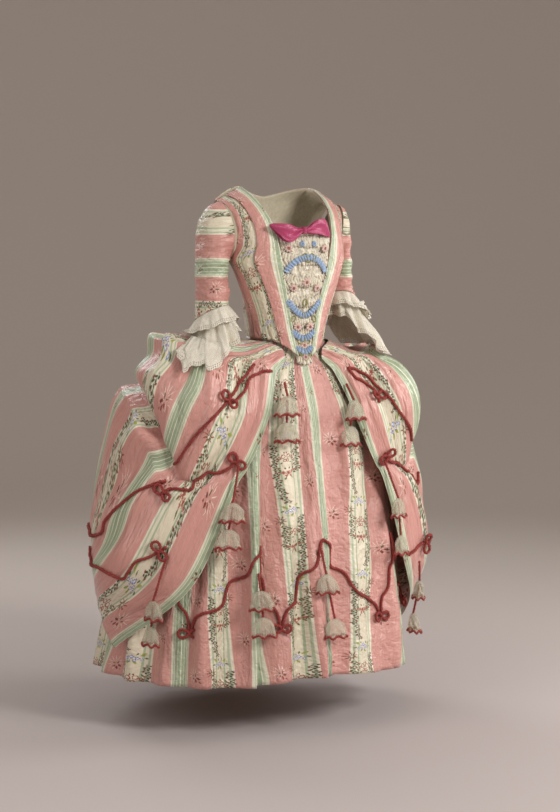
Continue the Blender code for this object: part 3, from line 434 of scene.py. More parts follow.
RIGHT_CREASES = BACK_CREASES + rows_of(Crease,
    (0.29, 0.02, 0.142, 0.23, 0.0126, 0.022, 0.4), (0.142, 0.18, 0.159, 0.35, 0.0108, 0.02, 0.3),
    (0.043, 0.02, 0.034, 0.17, 0.009, 0.012, 0.5), (0.034, 0.12, 0.006, 0.32, 0.0072, 0.011),
    (0.096, 0.03, 0.113, 0.24, -0.0108, 0.014), (0.113, 0.18, 0.079, 0.32, -0.009, 0.014),
    (0.298, 0.07, 0.212, 0.3, -0.0108, 0.018), (0.441, 0.08, 0.299, 0.28, 0.0144, 0.024, 0.5),
    (0.36, 0.47, 0.22, 0.26, 0.0126, 0.022, -0.5), (0.32, 0.48, 0.15, 0.34, 0.0126, 0.02, 0.5),
    (0.34, 0.47, 0.2, 0.33, -0.0126, 0.015), (0.093, 0.18, 0.051, 0.42, 0.009, 0.02, 0.3),
    (0.016, 0.26, 0.006, 0.47, -0.0072, 0.013), (0.428, 0.47, 0.32, 0.39, -0.0126, 0.018),
    (0.26, 0.48, 0.13, 0.36, 0.0108, 0.017, -0.3), (0.11, 0.48, 0.072, 0.31, -0.009, 0.017))
LEFT_CREASES = BACK_CREASES + rows_of(Crease,
    (0.05, 0.03, 0.01, 0.15, 0.0108, 0.015, 0.4), (0.165, 0.06, 0.156, 0.28, 0.0126, 0.02, 0.4),
    (0.113, 0.07, 0.098, 0.26, -0.0108, 0.014), (0.102, 0.23, 0.095, 0.39, 0.0108, 0.016, 0.4),
    (0.034, 0.17, 0.037, 0.36, 0.009, 0.014, -0.4), (0.063, 0.38, 0.092, 0.52, -0.0072, 0.014),
    (0.3, 0.47, 0.18, 0.35, 0.0126, 0.022, 0.3), (0.25, 0.08, 0.22, 0.32, 0.0126, 0.022, -0.4),
    (0.33, 0.06, 0.3, 0.3, -0.0108, 0.018), (0.4, 0.04, 0.38, 0.32, 0.0144, 0.024, 0.4))
SACK_CREASES = rows_of(Crease,
    (0.76, 0.3, 0.77, 0.78, 0.009, 0.018, 0.5), (0.82, 0.5, 0.81, 1.12, -0.0075, 0.016),
    (0.87, 0.35, 0.86, 0.92, 0.0075, 0.018, -0.4), (0.93, 0.6, 0.94, 1.25, 0.009, 0.02, 0.5),
    (0.99, 0.3, 0.98, 0.82, -0.0075, 0.016), (1.03, 0.7, 1.02, 1.35, 0.009, 0.018, -0.5))
SLEEVE_CREASES = rows_of(Crease,
    (-0.06, 0.18, 0.01, 0.27, 0.0053, 0.01, 0.4), (0.02, 0.17, 0.055, 0.29, -0.0045, 0.009),
    (0.06, 0.16, 0.035, 0.28, 0.0053, 0.009, -0.4), (-0.11, 0.2, -0.05, 0.29, 0.0045, 0.011),
    (0.085, 0.19, 0.075, 0.31, -0.0037, 0.008), (-0.02, 0.05, 0.03, 0.15, 0.0045, 0.011, 0.4),
    (0.05, 0.03, 0.06, 0.13, -0.0045, 0.009), (-0.09, 0.02, -0.06, 0.12, 0.0045, 0.012))


def cubic(f: Grid, start: Grid, end: Grid, start_slope: Grid, end_slope: Grid) -> Grid:
    """The cubic between two values with a slope at each.

    Args:
        f: How far each place lies from the start (0) to the end (1).
        start: The value at the start.
        end: The value at the end.
        start_slope: The slope at the start, over the whole way.
        end_slope: The slope at the end.

    Returns:
        The values at the places.
    """
    return (
        (1 + 2 * f) * (1 - f) ** 2 * start
        + f * (1 - f) ** 2 * start_slope
        + f * f * (3 - 2 * f) * end
        - f * f * (1 - f) * end_slope
    )


def smooth(at: Grid | float, keys: Sequence[float], values: Sequence[float]) -> Grid:
    """Values between the keys, on a cubic that never passes beyond its two neighbours.

    Args:
        at: The places asked for.
        keys: The places of the values, rising.
        values: A value, or an array of values, for each key.

    Returns:
        The values at the places.
    """
    keys, values = np.asarray(keys, float), np.asarray(values, float)
    shape = (-1,) + (1,) * (values.ndim - 1)
    step = np.diff(keys).reshape(shape)
    rise = np.diff(values, axis=0) / step
    slope = np.concatenate([rise[:1], np.zeros_like(rise[1:]), rise[-1:]])
    same = rise[1:] * rise[:-1] > 0
    total = np.where(same, rise[1:] + rise[:-1], 1.0)
    slope[1:-1] = np.where(same, 2 * rise[1:] * rise[:-1] / total, 0.0)
    at = np.asarray(at, float)
    i = np.clip(np.searchsorted(keys, at, side="right") - 1, 0, len(keys) - 2)
    step = step[i].reshape(at.shape + shape[1:])
    f = np.clip((at - keys[i]) / (keys[i + 1] - keys[i]), 0, 1).reshape(at.shape + shape[1:])
    return cubic(f, values[i], values[i + 1], step * slope[i], step * slope[i + 1])


def column(rows: Sequence[NamedTuple], name: str) -> Grid:
    """One column of a table."""
    return np.array([getattr(row, name) for row in rows], float)


def read_at(rows: Sequence[Row], keys: Grid, places: Grid) -> Row:
    """A table's columns at places among keys, as one row of arrays."""
    kind = type(rows[0])
    return kind(*(smooth(places, keys, column(rows, name)) for name in kind._fields))


def keyed(rows: Sequence[Row], places: Grid) -> Row:
    """A table's columns at places on its first column."""
    return read_at(rows, column(rows, rows[0]._fields[0]), places)


def spread(rows: Sequence[Row], places: Grid) -> Row:
    """A table's columns at places from 0 at its first row to 1 at its last."""
    return read_at(rows, np.linspace(0, 1, len(rows)), places)


def grid_of(down: Sequence[float], across: Sequence[float]) -> Sequence[Grid]:
    """The places across and down of a grid whose rows run down."""
    return np.meshgrid(across, down)


def unit(vectors: Grid) -> Grid:
    """The vectors, each made one metre long."""
    return vectors / (np.linalg.norm(vectors, axis=-1, keepdims=True) + 1e-12)


def outward_of(grid: Grid) -> Grid:
    """Directions out of a face whose columns run from the left by the front to the right."""
    return unit(np.cross(np.gradient(grid, axis=1), np.gradient(grid, axis=0)))


def run_down(grid: Grid) -> Grid:
    """How far each point lies down its column, along the cloth."""
    steps = np.linalg.norm(np.diff(grid, axis=0), axis=-1)
    return np.concatenate([np.zeros_like(steps[:1]), np.cumsum(steps, axis=0)])


def run_across(grid: Grid) -> Grid:
    """How far each point lies along its row, along the cloth."""
    return run_down(grid.swapaxes(0, 1)).T


def soft_noise(u: Grid, v: Grid, seed: int) -> Grid:
    """Smooth waves between -1 and 1 that change over about one unit of u and v.

    Args:
        u: Places one way.
        v: Places the other way.
        seed: Which waves.

    Returns:
        The height of the waves.
    """
    size = 64
    heights = np.random.default_rng(seed).uniform(-1, 1, (size, size))
    i, j = np.floor(u).astype(int), np.floor(v).astype(int)
    f, g = u - i, v - j
    f, g = f * f * (3 - 2 * f), g * g * (3 - 2 * g)

    def corner(a: int, b: int) -> Grid:
        """The height at a corner of each point's cell."""
        return heights[(i + a) % size, (j + b) % size]

    near = corner(0, 0) * (1 - f) + corner(1, 0) * f
    far = corner(0, 1) * (1 - f) + corner(1, 1) * f
    return near * (1 - g) + far * g


def ring_point(turn: Grid, drop: Grid, out: Grid | float = 0.0, aside: Grid | float = 0.0) -> Grid:
    """The plan of a point over the petticoat's plain form.

    Args:
        turn: The angle round the body.
        drop: The depth below the waist.
        out: The distance away from the form.
        aside: The distance along it.

    Returns:
        The point's x and y.
    """
    _, half, front, back = keyed(PETTICOAT_RINGS, drop)
    depth, middle = (front + back) / 2, (back - front) / 2
    angle = np.radians(turn)
    across, along = -np.sin(angle), -np.cos(angle)
    normal = unit(np.stack([across / half, along / depth], -1))
    tangent = np.stack([normal[..., 1], -normal[..., 0]], -1)
    plan = np.stack([half * across, middle + depth * along], -1)
    return plan + normal * np.asarray(out)[..., None] + tangent * np.asarray(aside)[..., None]


def placed(plan: Grid, height: Grid) -> Grid:
    """A plan's points at a height."""
    height = np.broadcast_to(height, plan.shape[:-1])
    return np.concatenate([plan, height[..., None]], -1)


def petticoat_face(phase: Grid, drop: Grid) -> Grid:
    """The petticoat's outer face, at a phase that counts its folds from the first ridge."""
    count = len(PETTICOAT_FOLDS)
    keys = np.arange(-1, count + 2)
    depth = column(PETTICOAT_FOLDS, "depth")[keys % count]
    lean = column(PETTICOAT_FOLDS, "lean")[keys % count]
    turns = column(PETTICOAT_FOLDS, "turn")
    turn = np.interp(phase, np.arange(count + 1), np.append(turns, turns[0] + 360))
    wave = np.cos(FULL_TURN * phase)
    grown = drop / HEM_DROP
    out = (smooth(phase, keys, depth) * grown**FOLD_GROWTH + FOLD_LEAST) * wave
    aside = smooth(phase, keys, lean) * grown * wave
    rise = FRONT_RISE * np.exp(-((turn / FRONT_RISE_WIDTH) ** 2)) * grown**2
    return placed(ring_point(turn, drop, out, aside), rise - drop)


def robe_face(across: Grid, down: Grid, side: Side) -> Grid:
    """The robe skirts' outer face.

    Args:
        across: Places from the front edge (0) to the centre back (1).
        down: Places from the waist (0) to the hem (1).
        side: The side of the wearer.

    Returns:
        The points.
    """
    at = keyed(ROBE_LENGTHS, across)
    if side is Side.LEFT:
        slack = keyed(LEFT_SLACK, across)
        at = at._replace(
            crest_out=at.crest_out * slack.out_share, puff_out=at.puff_out * slack.out_share,
            rise_up=at.rise_up - slack.lower, crest_up=at.crest_up - slack.lower,
            puff_drop=at.puff_drop + slack.lower,
        )

    def mixed(first: str, second: str, share: float) -> Grid:
        """A value between two columns."""
        return getattr(at, first) * (1 - share) + getattr(at, second) * share

    tuck = at.tuck
    lip_drop, inner_drop, outer_drop, swell_drop = (
        at.tuck_drop + offset + share * tuck for offset, share in TUCK_PROFILE
    )
    lip_out = mixed("puff_out", "tuck_out", 0.7)
    inner_out = mixed("puff_out", "tuck_out", 0.85) - 0.75 * tuck
    shallow = np.clip(1 - tuck / SHALLOW_TUCK, 0, 1)
    outer_out = lip_out + (at.swell_out - lip_out) * 0.5 * shallow
    lower_drop = mixed("tuck_drop", "hem_drop", 0.62)
    # Down the cloth: a place, the turn, the drop at which the form is read, the distance out and
    # the height.
    stations = (
        (0.00, at.waist_turn, -at.waist_up, at.waist_out, at.waist_up),
        (0.08, mixed("waist_turn", "puff_turn", 0.3), np.maximum(RISE_DROP, -at.rise_up),
         mixed("waist_out", "crest_out", 0.5), at.rise_up),
        (0.18, mixed("waist_turn", "puff_turn", 0.7), np.maximum(CREST_DROP, -at.crest_up),
         at.crest_out, at.crest_up),
        (0.31, at.puff_turn, at.puff_drop, at.puff_out, -at.puff_drop),
        (0.42, mixed("puff_turn", "tuck_turn", 0.8), lip_drop, lip_out, -lip_drop),
        (0.455, at.tuck_turn, inner_drop, inner_out, -inner_drop),
        (0.49, mixed("tuck_turn", "lower_turn", 0.08), outer_drop, outer_out, -outer_drop),
        (0.54, mixed("tuck_turn", "lower_turn", 0.18), swell_drop, at.swell_out, -swell_drop),
        (0.75, at.lower_turn, lower_drop, at.lower_out, -lower_drop),
        (1.00, at.hem_turn, at.hem_drop, at.hem_out, -at.hem_drop),
    )
    places = np.array([row[0] for row in stations])
    stack = np.stack([np.stack(np.broadcast_arrays(*row[1:]), -1) for row in stations])
    deep = np.broadcast_to(down, across.shape).reshape(-1)
    flat = stack.reshape(len(places), deep.size, -1)
    result = np.empty((deep.size, flat.shape[-1]))
    for place in np.unique(deep):
        chosen = deep == place
        result[chosen] = smooth(place, places, flat[:, chosen])
    turn, beneath, out, height = np.moveaxis(result.reshape(across.shape + (-1,)), -1, 0)
    pleat = SACK_RIPPLE * np.cos(SACK_PLEATS * np.pi * (1 - across) / SACK_SHARE)
    pleat *= np.clip((across - 1 + SACK_SHARE) / SACK_FADE, 0, 1)
    return placed(ring_point(side.value * turn, beneath, out + pleat), height)


def bodice_front_face(up: Grid, across: Grid) -> Grid:
    """The left front: up from the waist (0) to the shoulder (1), across from the inner edge."""
    at = spread(FRONT_ROWS, up)
    inner = np.stack([at.inner_x, at.inner_y, at.inner_z], -1)
    outer = np.stack([at.outer_x, at.outer_y, at.outer_z], -1)
    chord = outer - inner
    swell = unit(np.stack([chord[..., 1], -chord[..., 0], 0 * chord[..., 0]], -1))
    middle = (inner + outer) / 2 + 2 * at.rounding[..., None] * swell
    f = across[..., None]
    points = (1 - f) ** 2 * inner + 2 * f * (1 - f) * middle + f * f * outer
    dip = (1 - across - (1 - across) ** 3) * np.clip(1 - up / DIP_HEIGHT, 0, 1)
    points[..., 2] -= dip * (at.inner_z - at.outer_z)
    return points


def bodice_back_face(up: Grid, across: Grid) -> Grid:
    """The fitted back: up from the waist, across from the right seam (-1) to the left (1)."""
    at = spread(BACK_ROWS, up)
    round_bend = np.cos(across * np.pi / 2)
    neck_bend = np.clip(1 - (across / NECK_CORNER) ** 2, 0, 1)
    bend = round_bend * (1 - at.yoke) + neck_bend * at.yoke
    x = at.half_x * np.sin(across * np.pi / 2)
    y = at.side_y + (at.mid_y - at.side_y) * bend
    z = at.mid_z + (at.side_z - at.mid_z) * across**2
    z = z + at.rise * np.exp(-(((np.abs(across) - NECK_CORNER) / NECK_SOFTNESS) ** 2))
    return np.stack([x, y, z], -1)


def stomacher_face(down: Grid, across: Grid) -> Grid:
    """The stomacher: down from its top (0) to its point (1), across from edge (-1) to edge (1)."""
    at = spread(STOMACHER_ROWS, down)
    y = at.mid_y + (at.edge_y - at.mid_y) * across**2
    return np.stack([at.half_x * across, y, at.height], -1)


def mirrored(grid: Grid) -> Grid:
    """The wearer's right of a grid made for the left, its face still outwards."""
    return (grid * (-1, 1, 1))[:, ::-1]


def turned(grid: Grid) -> Grid:
    """The same grid with its columns the other way."""
    return grid[:, ::-1]


def sleeve_face(along: Grid, round_it: Grid, side: Side) -> Grid:
    """A sleeve's outer face, turned to the left: along to the elbow, round it through the back."""
    at = spread(SLEEVE_ROWS, along)
    angle = round_it * FULL_TURN
    outwards = (1 + np.cos(angle)) / 2
    only_left = 1 if side is Side.LEFT else 0
    out_x = at.out_x - at.slim * only_left
    x = at.in_x + (out_x - at.in_x) * outwards + at.sway * side.value
    x = x - at.hollow * np.sin(angle) ** 2
    z = at.in_z + (at.out_z - at.in_z) * outwards - at.tilt * np.sin(angle)
    y = at.mid_y + at.half_y * np.sin(angle)
    return np.stack([x, y, z + at.lift * only_left], -1)


def curve_through(points: Sequence[Sequence[float]], samples: int) -> Grid:
    """A smooth curve through the points, as that many samples of it."""
    points = np.asarray(points, float)
    slopes = np.gradient(points, axis=0)
    at = np.linspace(0, len(points) - 1, samples)
    i = np.minimum(at.astype(int), len(points) - 2)
    f = (at - i)[:, None]
    return cubic(f, points[i], points[i + 1], slopes[i], slopes[i + 1])


def evenly(path: Grid, step: float) -> Grid:
    """The path sampled again at an even step."""
    measured = run_down(path)
    places = np.linspace(0, measured[-1], max(2, int(measured[-1] / step) + 1))
    return np.stack([np.interp(places, measured, path[:, k]) for k in range(path.shape[1])], -1)


def dye(code: str) -> Colour:
    """A screen colour such as "c8887b" as the shader's linear colour."""
    parts = [int(code[k : k + 2], 16) / 255 for k in (0, 2, 4)]
    return (*(c / 12.92 if c <= 0.04045 else ((c + 0.055) / 1.055) ** 2.4 for c in parts), 1.0)


class Signal:
    """A number that a shader works out; arithmetic on it adds nodes to its tree."""

    def __init__(self, graph: Graph, socket: NodeSocket) -> None:
        """Keeps the tree and the socket that gives the number."""
        self.graph = graph
        self.socket = socket

    def _with(self, operation: str, *others: Signal | float) -> Signal:
        """The result of a Math node on this and the others."""
        return self.graph.math(operation, self, *others)

    __add__ = partialmethod(_with, "ADD")
    __sub__ = partialmethod(_with, "SUBTRACT")
    __mul__ = partialmethod(_with, "MULTIPLY")
    __truediv__ = partialmethod(_with, "DIVIDE")
    __abs__ = partialmethod(_with, "ABSOLUTE")
    sin = partialmethod(_with, "SINE")
    cos = partialmethod(_with, "COSINE")
    snap = partialmethod(_with, "SNAP")
    most = partialmethod(_with, "MAXIMUM")

    def __rsub__(self, other: float) -> Signal:
        """The difference from a plain number."""
        return self.graph.math("SUBTRACT", other, self)

    def wrap(self, low: float, high: float) -> Signal:
        """The number brought into a range by whole steps of it."""
        return self._with("WRAP", high, low)

    def edge(self, soft: float) -> Signal:
        """1 where the number is over zero and 0 under it, with a soft step between."""
        return self.graph.math("ADD", self / soft, 0.5, clamp=True)


class Graph:
    """A tree of shader or geometry nodes and short ways to add to it."""

    def __init__(self, tree: NodeTree) -> None:
        """Keeps the tree."""
        self.tree = tree

    def put(self, socket: NodeSocket, value: object) -> None:
        """Links a signal to a socket, or sets the socket's own value."""
        value = value.socket if isinstance(value, Signal) else value
        if isinstance(value, NodeSocket):
            self.tree.links.new(value, socket)
        else:
            socket.default_value = value

    def add(
        self, kind: str, settings: dict[str, object] | None = None, **inputs: object
    ) -> Node:
        """Adds a node; an input's name has its spaces written as underscores."""
        node = self.tree.nodes.new(kind)
        for name, value in (settings or {}).items():
            setattr(node, name, value)
        for name, value in inputs.items():
            self.put(node.inputs[name.replace("_", " ")], value)
        return node

    def math(self, operation: str, *values: Signal | float, clamp: bool = False) -> Signal:
        """Adds a Math node."""
        node = self.add("ShaderNodeMath", {"operation": operation, "use_clamp": clamp})
        for socket, value in zip(node.inputs, values):
            self.put(socket, value)
        return Signal(self, node.outputs[0])

    def mix(self, share: Signal | float, first: Signal | Colour, second: Signal | Colour) -> Signal:
        """Adds a mix of two colours."""
        node = self.add("ShaderNodeMix", {"data_type": "RGBA"})
        for place, value in ((0, share), (6, first), (7, second)):
            self.put(node.inputs[place], value)
        return Signal(self, node.outputs[2])

    def join(self, x: Signal | float, y: Signal | float, z: Signal | float = 0.0) -> Signal:
        """Adds a vector made of three numbers."""
        return Signal(self, self.add("ShaderNodeCombineXYZ", X=x, Y=y, Z=z).outputs[0])

    def noise(self, vector: Signal, scale: float, detail: float = 2.0) -> Signal:
        """Adds a noise from 0 to 1 over a vector."""
        node = self.add("ShaderNodeTexNoise", Vector=vector, Scale=scale, Detail=detail)
        return Signal(self, node.outputs["Fac"])

    def ramp(self, place: Signal, stops: Sequence[tuple[float, Colour]]) -> Signal:
        """Adds a colour ramp over a number from 0 to 1."""
        node = self.add("ShaderNodeValToRGB", Fac=place)
        band = node.color_ramp
        for _ in stops[2:]:
            band.elements.new(0.5)
        for element, (position, colour) in zip(band.elements, stops):
            element.position, element.color = position, colour
        return Signal(self, node.outputs[0])

    def group(self, tree: NodeTree, **inputs: object) -> Callable[[str], Signal]:
        """Adds a group; the result gives a signal for the name of an output."""
        node = self.add("ShaderNodeGroup", {"node_tree": tree}, **inputs)
        return lambda name: Signal(self, node.outputs[name])


def shader_group(
    name: str,
    inputs: dict[str, float],
    outputs: dict[str, str],
    build: Callable[[Graph, dict[str, Signal]], dict[str, Signal]],
) -> NodeTree:
    """Makes a shader node group of number inputs.

    Args:
        name: The group's name.
        inputs: Its inputs, with the value each has until it is set.
        outputs: Its outputs, each "Float" or "Color".
        build: Adds the nodes between, from the inputs' signals to the outputs' ones.

    Returns:
        The group.
    """
    tree = bpy.data.node_groups.new(name, "ShaderNodeTree")
    for word, value in inputs.items():
        socket = tree.interface.new_socket(word, in_out="INPUT", socket_type="NodeSocketFloat")
        socket.default_value = value
    for word, kind in outputs.items():
        tree.interface.new_socket(word, in_out="OUTPUT", socket_type=f"NodeSocket{kind}")
    graph = Graph(tree)
    entry, leave = tree.nodes.new("NodeGroupInput"), tree.nodes.new("NodeGroupOutput")
    results = build(graph, {word: Signal(graph, entry.outputs[word]) for word in inputs})
    for word, signal in results.items():
        graph.put(leave.inputs[word], signal)
    return tree


class Brocade:
    """The groups of shader nodes that draw the silk's stripes and its flowers, in millimetres."""

    REPEAT_ACROSS = 224.0
    REPEAT_DOWN = 182.0
    CREAM_MIDDLE = 112.0
    SPRAY_DOWN = 22.0
    ABOVE_SPRAY = 16.0
    BORDER = 24.0
    THREAD = 0.8
    EDGE = 0.0015  # half the softness of a band's edge

    # From the middle of a green group to the middle of a cream stripe: start and dye.
    BANDS = (
        (0.0, "e0dbc5"), (1.1, "98a98a"), (8.6, "e0dbc5"), (9.7, "9eae8f"), (15.6, "e1dcc7"),
        (17.0, "b8c3a6"), (19.6, "ddd8c2"), (23.5, "ca968b"), (26.0, "d2a498"), (27.2, "ca9187"),
        (80.5, "e3dbc6"), (84.5, "b1bd9f"), (88.5, "dfd7c1"), (94.5, "a7b695"), (98.5, "dbd1b9"),
    )

    # Leaves as a place, a turn, a length, a width and a dye, each with a twin past the middle.
    SPRAY_LEAVES = (
        (17.0, -7.0, -0.6, 12.0, 5.0, "9ba347"), (5.0, 12.0, 0.9, 10.0, 4.6, "8d953c"),
        (22.0, 3.0, 0.35, 8.0, 3.6, "57682f"), (8.0, -8.0, -1.2, 7.0, 3.4, "5d6b34"),
    )
    TWIG_LEAVES = (
        (15.5, 46.0, 1.0, 8.0, 2.6, "4a4a2a"), (18.0, 60.0, -0.5, 7.0, 2.6, "6d3a26"),
        (10.5, 67.0, 0.4, 7.0, 2.4, "4a4a2a"), (2.5, 43.0, 1.3, 6.0, 2.4, "7d3628"),
    )
    ROSE_LEAVES = (
        (17.0, 84.0, -0.9, 9.0, 3.6, "4f5a32"), (19.0, 95.0, 0.5, 9.0, 3.4, "4a4528"),
        (8.0, 104.0, 1.1, 9.0, 3.8, "56602f"), (5.0, 81.0, -1.0, 7.0, 3.2, "5a3a24"),
        (24.0, 88.0, 0.1, 6.0, 3.0, "9a4a34"),
    )
    SPRIG_LEAVES = (
        (0.0, 6.5, 1.3, 9.5, 4.4, "7b2f24"), (6.0, 0.5, 0.3, 10.0, 4.4, "6a2c1f"),
        (-6.0, 2.5, -0.6, 8.5, 4.0, "86402c"), (0.5, -7.0, 1.9, 9.5, 3.0, "54532f"),
        (8.5, 9.5, 0.8, 6.0, 3.2, "8f4935"), (-8.0, -5.5, 0.5, 5.5, 2.8, "6b5a30"),
    )
    FLORETS = ((0.0, -2.0, 4.4), (8.0, 2.0, 4.0), (15.0, 6.0, 3.3), (4.2, 7.0, 3.2))
    CURLS = ((6.0, 51.0, 4.4), (3.2, 61.5, 2.8), (14.0, 55.0, 2.5))
    BUDS = ((0.0, 92.0, 6.2), (9.8, 91.0, 5.0), (4.8, 99.0, 3.6), (17.5, 89.5, 3.0))
    # The sprigs on the pink and on the green: a place across, a place down and the size.
    SPRIGS = ((52.0, 58.0, 1.0), (-52.0, 150.0, 1.0), (3.0, 112.0, 0.8))

    def __init__(self) -> None:
        """Builds the groups once."""
        self.leaf = shader_group(
            "leaf", {"X": 0, "Y": 0, "Turn": 0, "Length": 4, "Width": 2}, {"Mask": "Float"},
            self._leaf,
        )
        self.rays = shader_group(
            "rays", {"X": 0, "Y": 0, "Count": 5, "Start": 1, "Length": 6, "Width": 1, "Turn": 0},
            {"Mask": "Float"}, self._rays,
        )
        self.blossom = shader_group(
            "blossom", {"X": 0, "Y": 0, "Radius": 4, "Petals": 5},
            {"Mask": "Float", "Heart": "Float", "Rim": "Float"}, self._blossom,
        )
        self.cloth = shader_group(
            "striped brocade", {"U": 0, "V": 0}, {"Color": "Color", "Raised": "Float"},
            self._cloth,
        )
        self.weave = shader_group(
            "silk weave", {"U": 0, "V": 0, "Rib": 0.9, "Crisp": 1.0},
            {"Height": "Float", "Streak": "Float", "Crumple": "Float"}, self._weave,
        )

    @staticmethod
    def _leaf(graph: Graph, at: dict[str, Signal]) -> dict[str, Signal]:
        """A pointed oval leaf round a point, turned."""
        cos, sin = at["Turn"].cos(), at["Turn"].sin()
        along = abs((at["X"] * cos + at["Y"] * sin) * 2.0 / at["Length"])
        aside = abs((at["Y"] * cos - at["X"] * sin) * 2.0 / at["Width"])
        return {"Mask": (1.0 - aside - along * along).edge(0.35)}

    @staticmethod
    def _rays(graph: Graph, at: dict[str, Signal]) -> dict[str, Signal]:
        """Leaves or rays that stand round a point."""
        x, y = at["X"], at["Y"]
        reach = graph.math("SQRT", x * x + y * y)
        angle = graph.math("ARCTAN2", y, x) + at["Turn"]
        half = graph.math("DIVIDE", math.pi, at["Count"])
        sector = graph.math("WRAP", angle, half, half * -1.0)
        along = (reach * sector.cos() - at["Start"]) / at["Length"]
        aside = abs(reach * sector.sin())
        width = along * (1.0 - along) * at["Width"] * 2.0
        return {"Mask": (width - aside).edge(0.5)}

    @staticmethod
    def _blossom(graph: Graph, at: dict[str, Signal]) -> dict[str, Signal]:
        """A flower of a few petals, with its heart and its rim."""
        x, y = at["X"], at["Y"]
        reach = graph.math("SQRT", x * x + y * y)
        angle = graph.math("ARCTAN2", y, x) * at["Petals"]
        rim = at["Radius"] * (angle.cos() * 0.22 + 0.78)
        mask = (rim - reach).edge(0.6)
        return {
            "Mask": mask,
            "Heart": (at["Radius"] * 0.34 - reach).edge(0.5),
            "Rim": mask * (reach - rim * 0.72).edge(0.5),
        }

    @staticmethod
    def _weave(graph: Graph, at: dict[str, Signal]) -> dict[str, Signal]:
        """Fine weft ribs, warp streaks, and the crumpling of crisp silk, with heights in metres."""
        rib = (at["V"] / at["Rib"] * FULL_TURN).sin()
        streak = graph.noise(graph.join(at["U"] * 0.9, at["V"] * 0.012), 1.0, 3.0)
        slub = graph.noise(graph.join(at["U"] * 0.05, at["V"] * 1.4), 1.0, 2.0)
        broad = graph.noise(graph.join(at["U"] * 0.030, at["V"] * 0.013), 1.0, 2.0)
        small = graph.noise(graph.join(at["U"] * 0.075, at["V"] * 0.060, 7.0), 1.0, 2.0)
        crumple = abs(broad - 0.5) * 0.016 + abs(small - 0.5) * 0.0060
        height = (rib * 0.5 + slub) * 0.00008
        return {"Height": height, "Streak": streak, "Crumple": crumple * at["Crisp"]}

    def _cloth(self, graph: Graph, at: dict[str, Signal]) -> dict[str, Signal]:
        """Stripes with sprays, twigs, roses, sprigs and vines woven into them."""
        rough = graph.join(at["U"], at["V"])
        shake = graph.noise(rough, 0.12) - 0.5
        shiver = graph.noise(rough, 0.9, 1.0) - 0.5
        pinch = graph.math("PINGPONG", at["U"] + shiver * 0.5, self.REPEAT_ACROSS / 2)
        stops = []
        for k, (start, code) in enumerate(self.BANDS):
            if k:
                stops.append((start / self.CREAM_MIDDLE - self.EDGE, dye(self.BANDS[k - 1][1])))
            stops.append((start / self.CREAM_MIDDLE + (self.EDGE if k else 0), dye(code)))
        colour = graph.ramp(pinch / self.CREAM_MIDDLE, stops)
        across = (at["U"] + shake * 6.0).snap(self.THREAD)
        down = (at["V"] + shake * 6.0 + shiver * 1.6).snap(self.THREAD)
        start = down - (self.SPRAY_DOWN - self.ABOVE_SPRAY)
        y = start.wrap(0.0, self.REPEAT_DOWN) - self.ABOVE_SPRAY
        flip = graph.math("SIGN", start.wrap(0.0, 2 * self.REPEAT_DOWN) - self.REPEAT_DOWN)
        half_across, half_down = self.REPEAT_ACROSS / 2, self.REPEAT_DOWN / 2
        x = (across - self.CREAM_MIDDLE).wrap(-half_across, half_across) * flip
        raised = graph.math("MULTIPLY", 0.0, 0.0)  # nothing is woven in yet

        def lay(mask: Signal, code: str) -> None:
            """Weaves a motif into the ground."""
            nonlocal colour, raised
            colour = graph.mix(mask, colour, dye(code))
            raised = mask.most(raised)

        def leaf(px: Signal, py: Signal, turn: float, length: float, width: float) -> Signal:
            """The mask of a leaf."""
            return graph.group(self.leaf, X=px, Y=py, Turn=turn, Length=length, Width=width)("Mask")

        def rays(px: Signal, py: Signal, **sizes: float) -> Signal:
            """The mask of leaves or rays round a point."""
            return graph.group(self.rays, X=px, Y=py, **sizes)("Mask")

        def leaves(px: Signal, py: Signal, rows: Sequence[tuple], size: float = 1.0) -> None:
            """Lays a table of leaves."""
            for dx, dy, turn, length, width, code in rows:
                mask = leaf(px - dx * size, py - dy * size, turn, length * size, width * size)
                lay(mask, code)

        def flowers(px: Signal, rows: Sequence[tuple], petals: float, codes: Sequence[str]) -> None:
            """Lays a table of flowers in the dyes of their petals, their rim and their heart."""
            for dx, dy, radius in rows:
                bloom = graph.group(self.blossom, X=px - dx, Y=y - dy, Radius=radius, Petals=petals)
                for part, code in zip(("Mask", "Rim", "Heart"), codes):
                    lay(bloom(part), code)

        # A vine down one border from the rose to the next spray, and a thinner one down the other.
        bend = ((y - 118.0) / 40.0).most(0.0) * 9.0
        for way, top, end, gap, codes in (
            (-1.0, 20.0, 170.0, 2.6, ("353d24", "843c2e")),
            (1.0, 36.0, 94.0, 2.8, ("4a4a2a", "9a4f39")),
        ):
            stem = x - (self.BORDER - bend) * way - (y * (FULL_TURN / 26.0)).sin() * 2.4
            off = abs(stem)
            here = ((y - top) / 3.0).edge(1.0) * ((end - y) / 3.0).edge(1.0)
            lay((0.5 - off).edge(0.5) * here * 0.8, "7d7650")
            turn_y = y + graph.math("SIGN", stem) * 1.3
            lay(leaf(off - 2.8, turn_y.wrap(-gap, gap), 0.75, 5.6, 3.4) * here, codes[0])
            far_x, far_y = off - 5.6, (turn_y + 3.0).wrap(-2 * gap, 2 * gap)
            lay(leaf(far_x, far_y, -0.5, 4.8, 3.2) * here, codes[1])

        # A loose sprig beside each spray, half on the pink.
        px, py = x - 30.0, y - 24.0
        lay(rays(px, py, Count=9.0, Start=3.0, Length=10.0, Width=1.9, Turn=0.0), "8a4134")
        px, py = px + 1.0, py - 1.0
        lay(rays(px, py, Count=7.0, Start=1.5, Length=5.5, Width=2.2, Turn=0.3), "59552f")

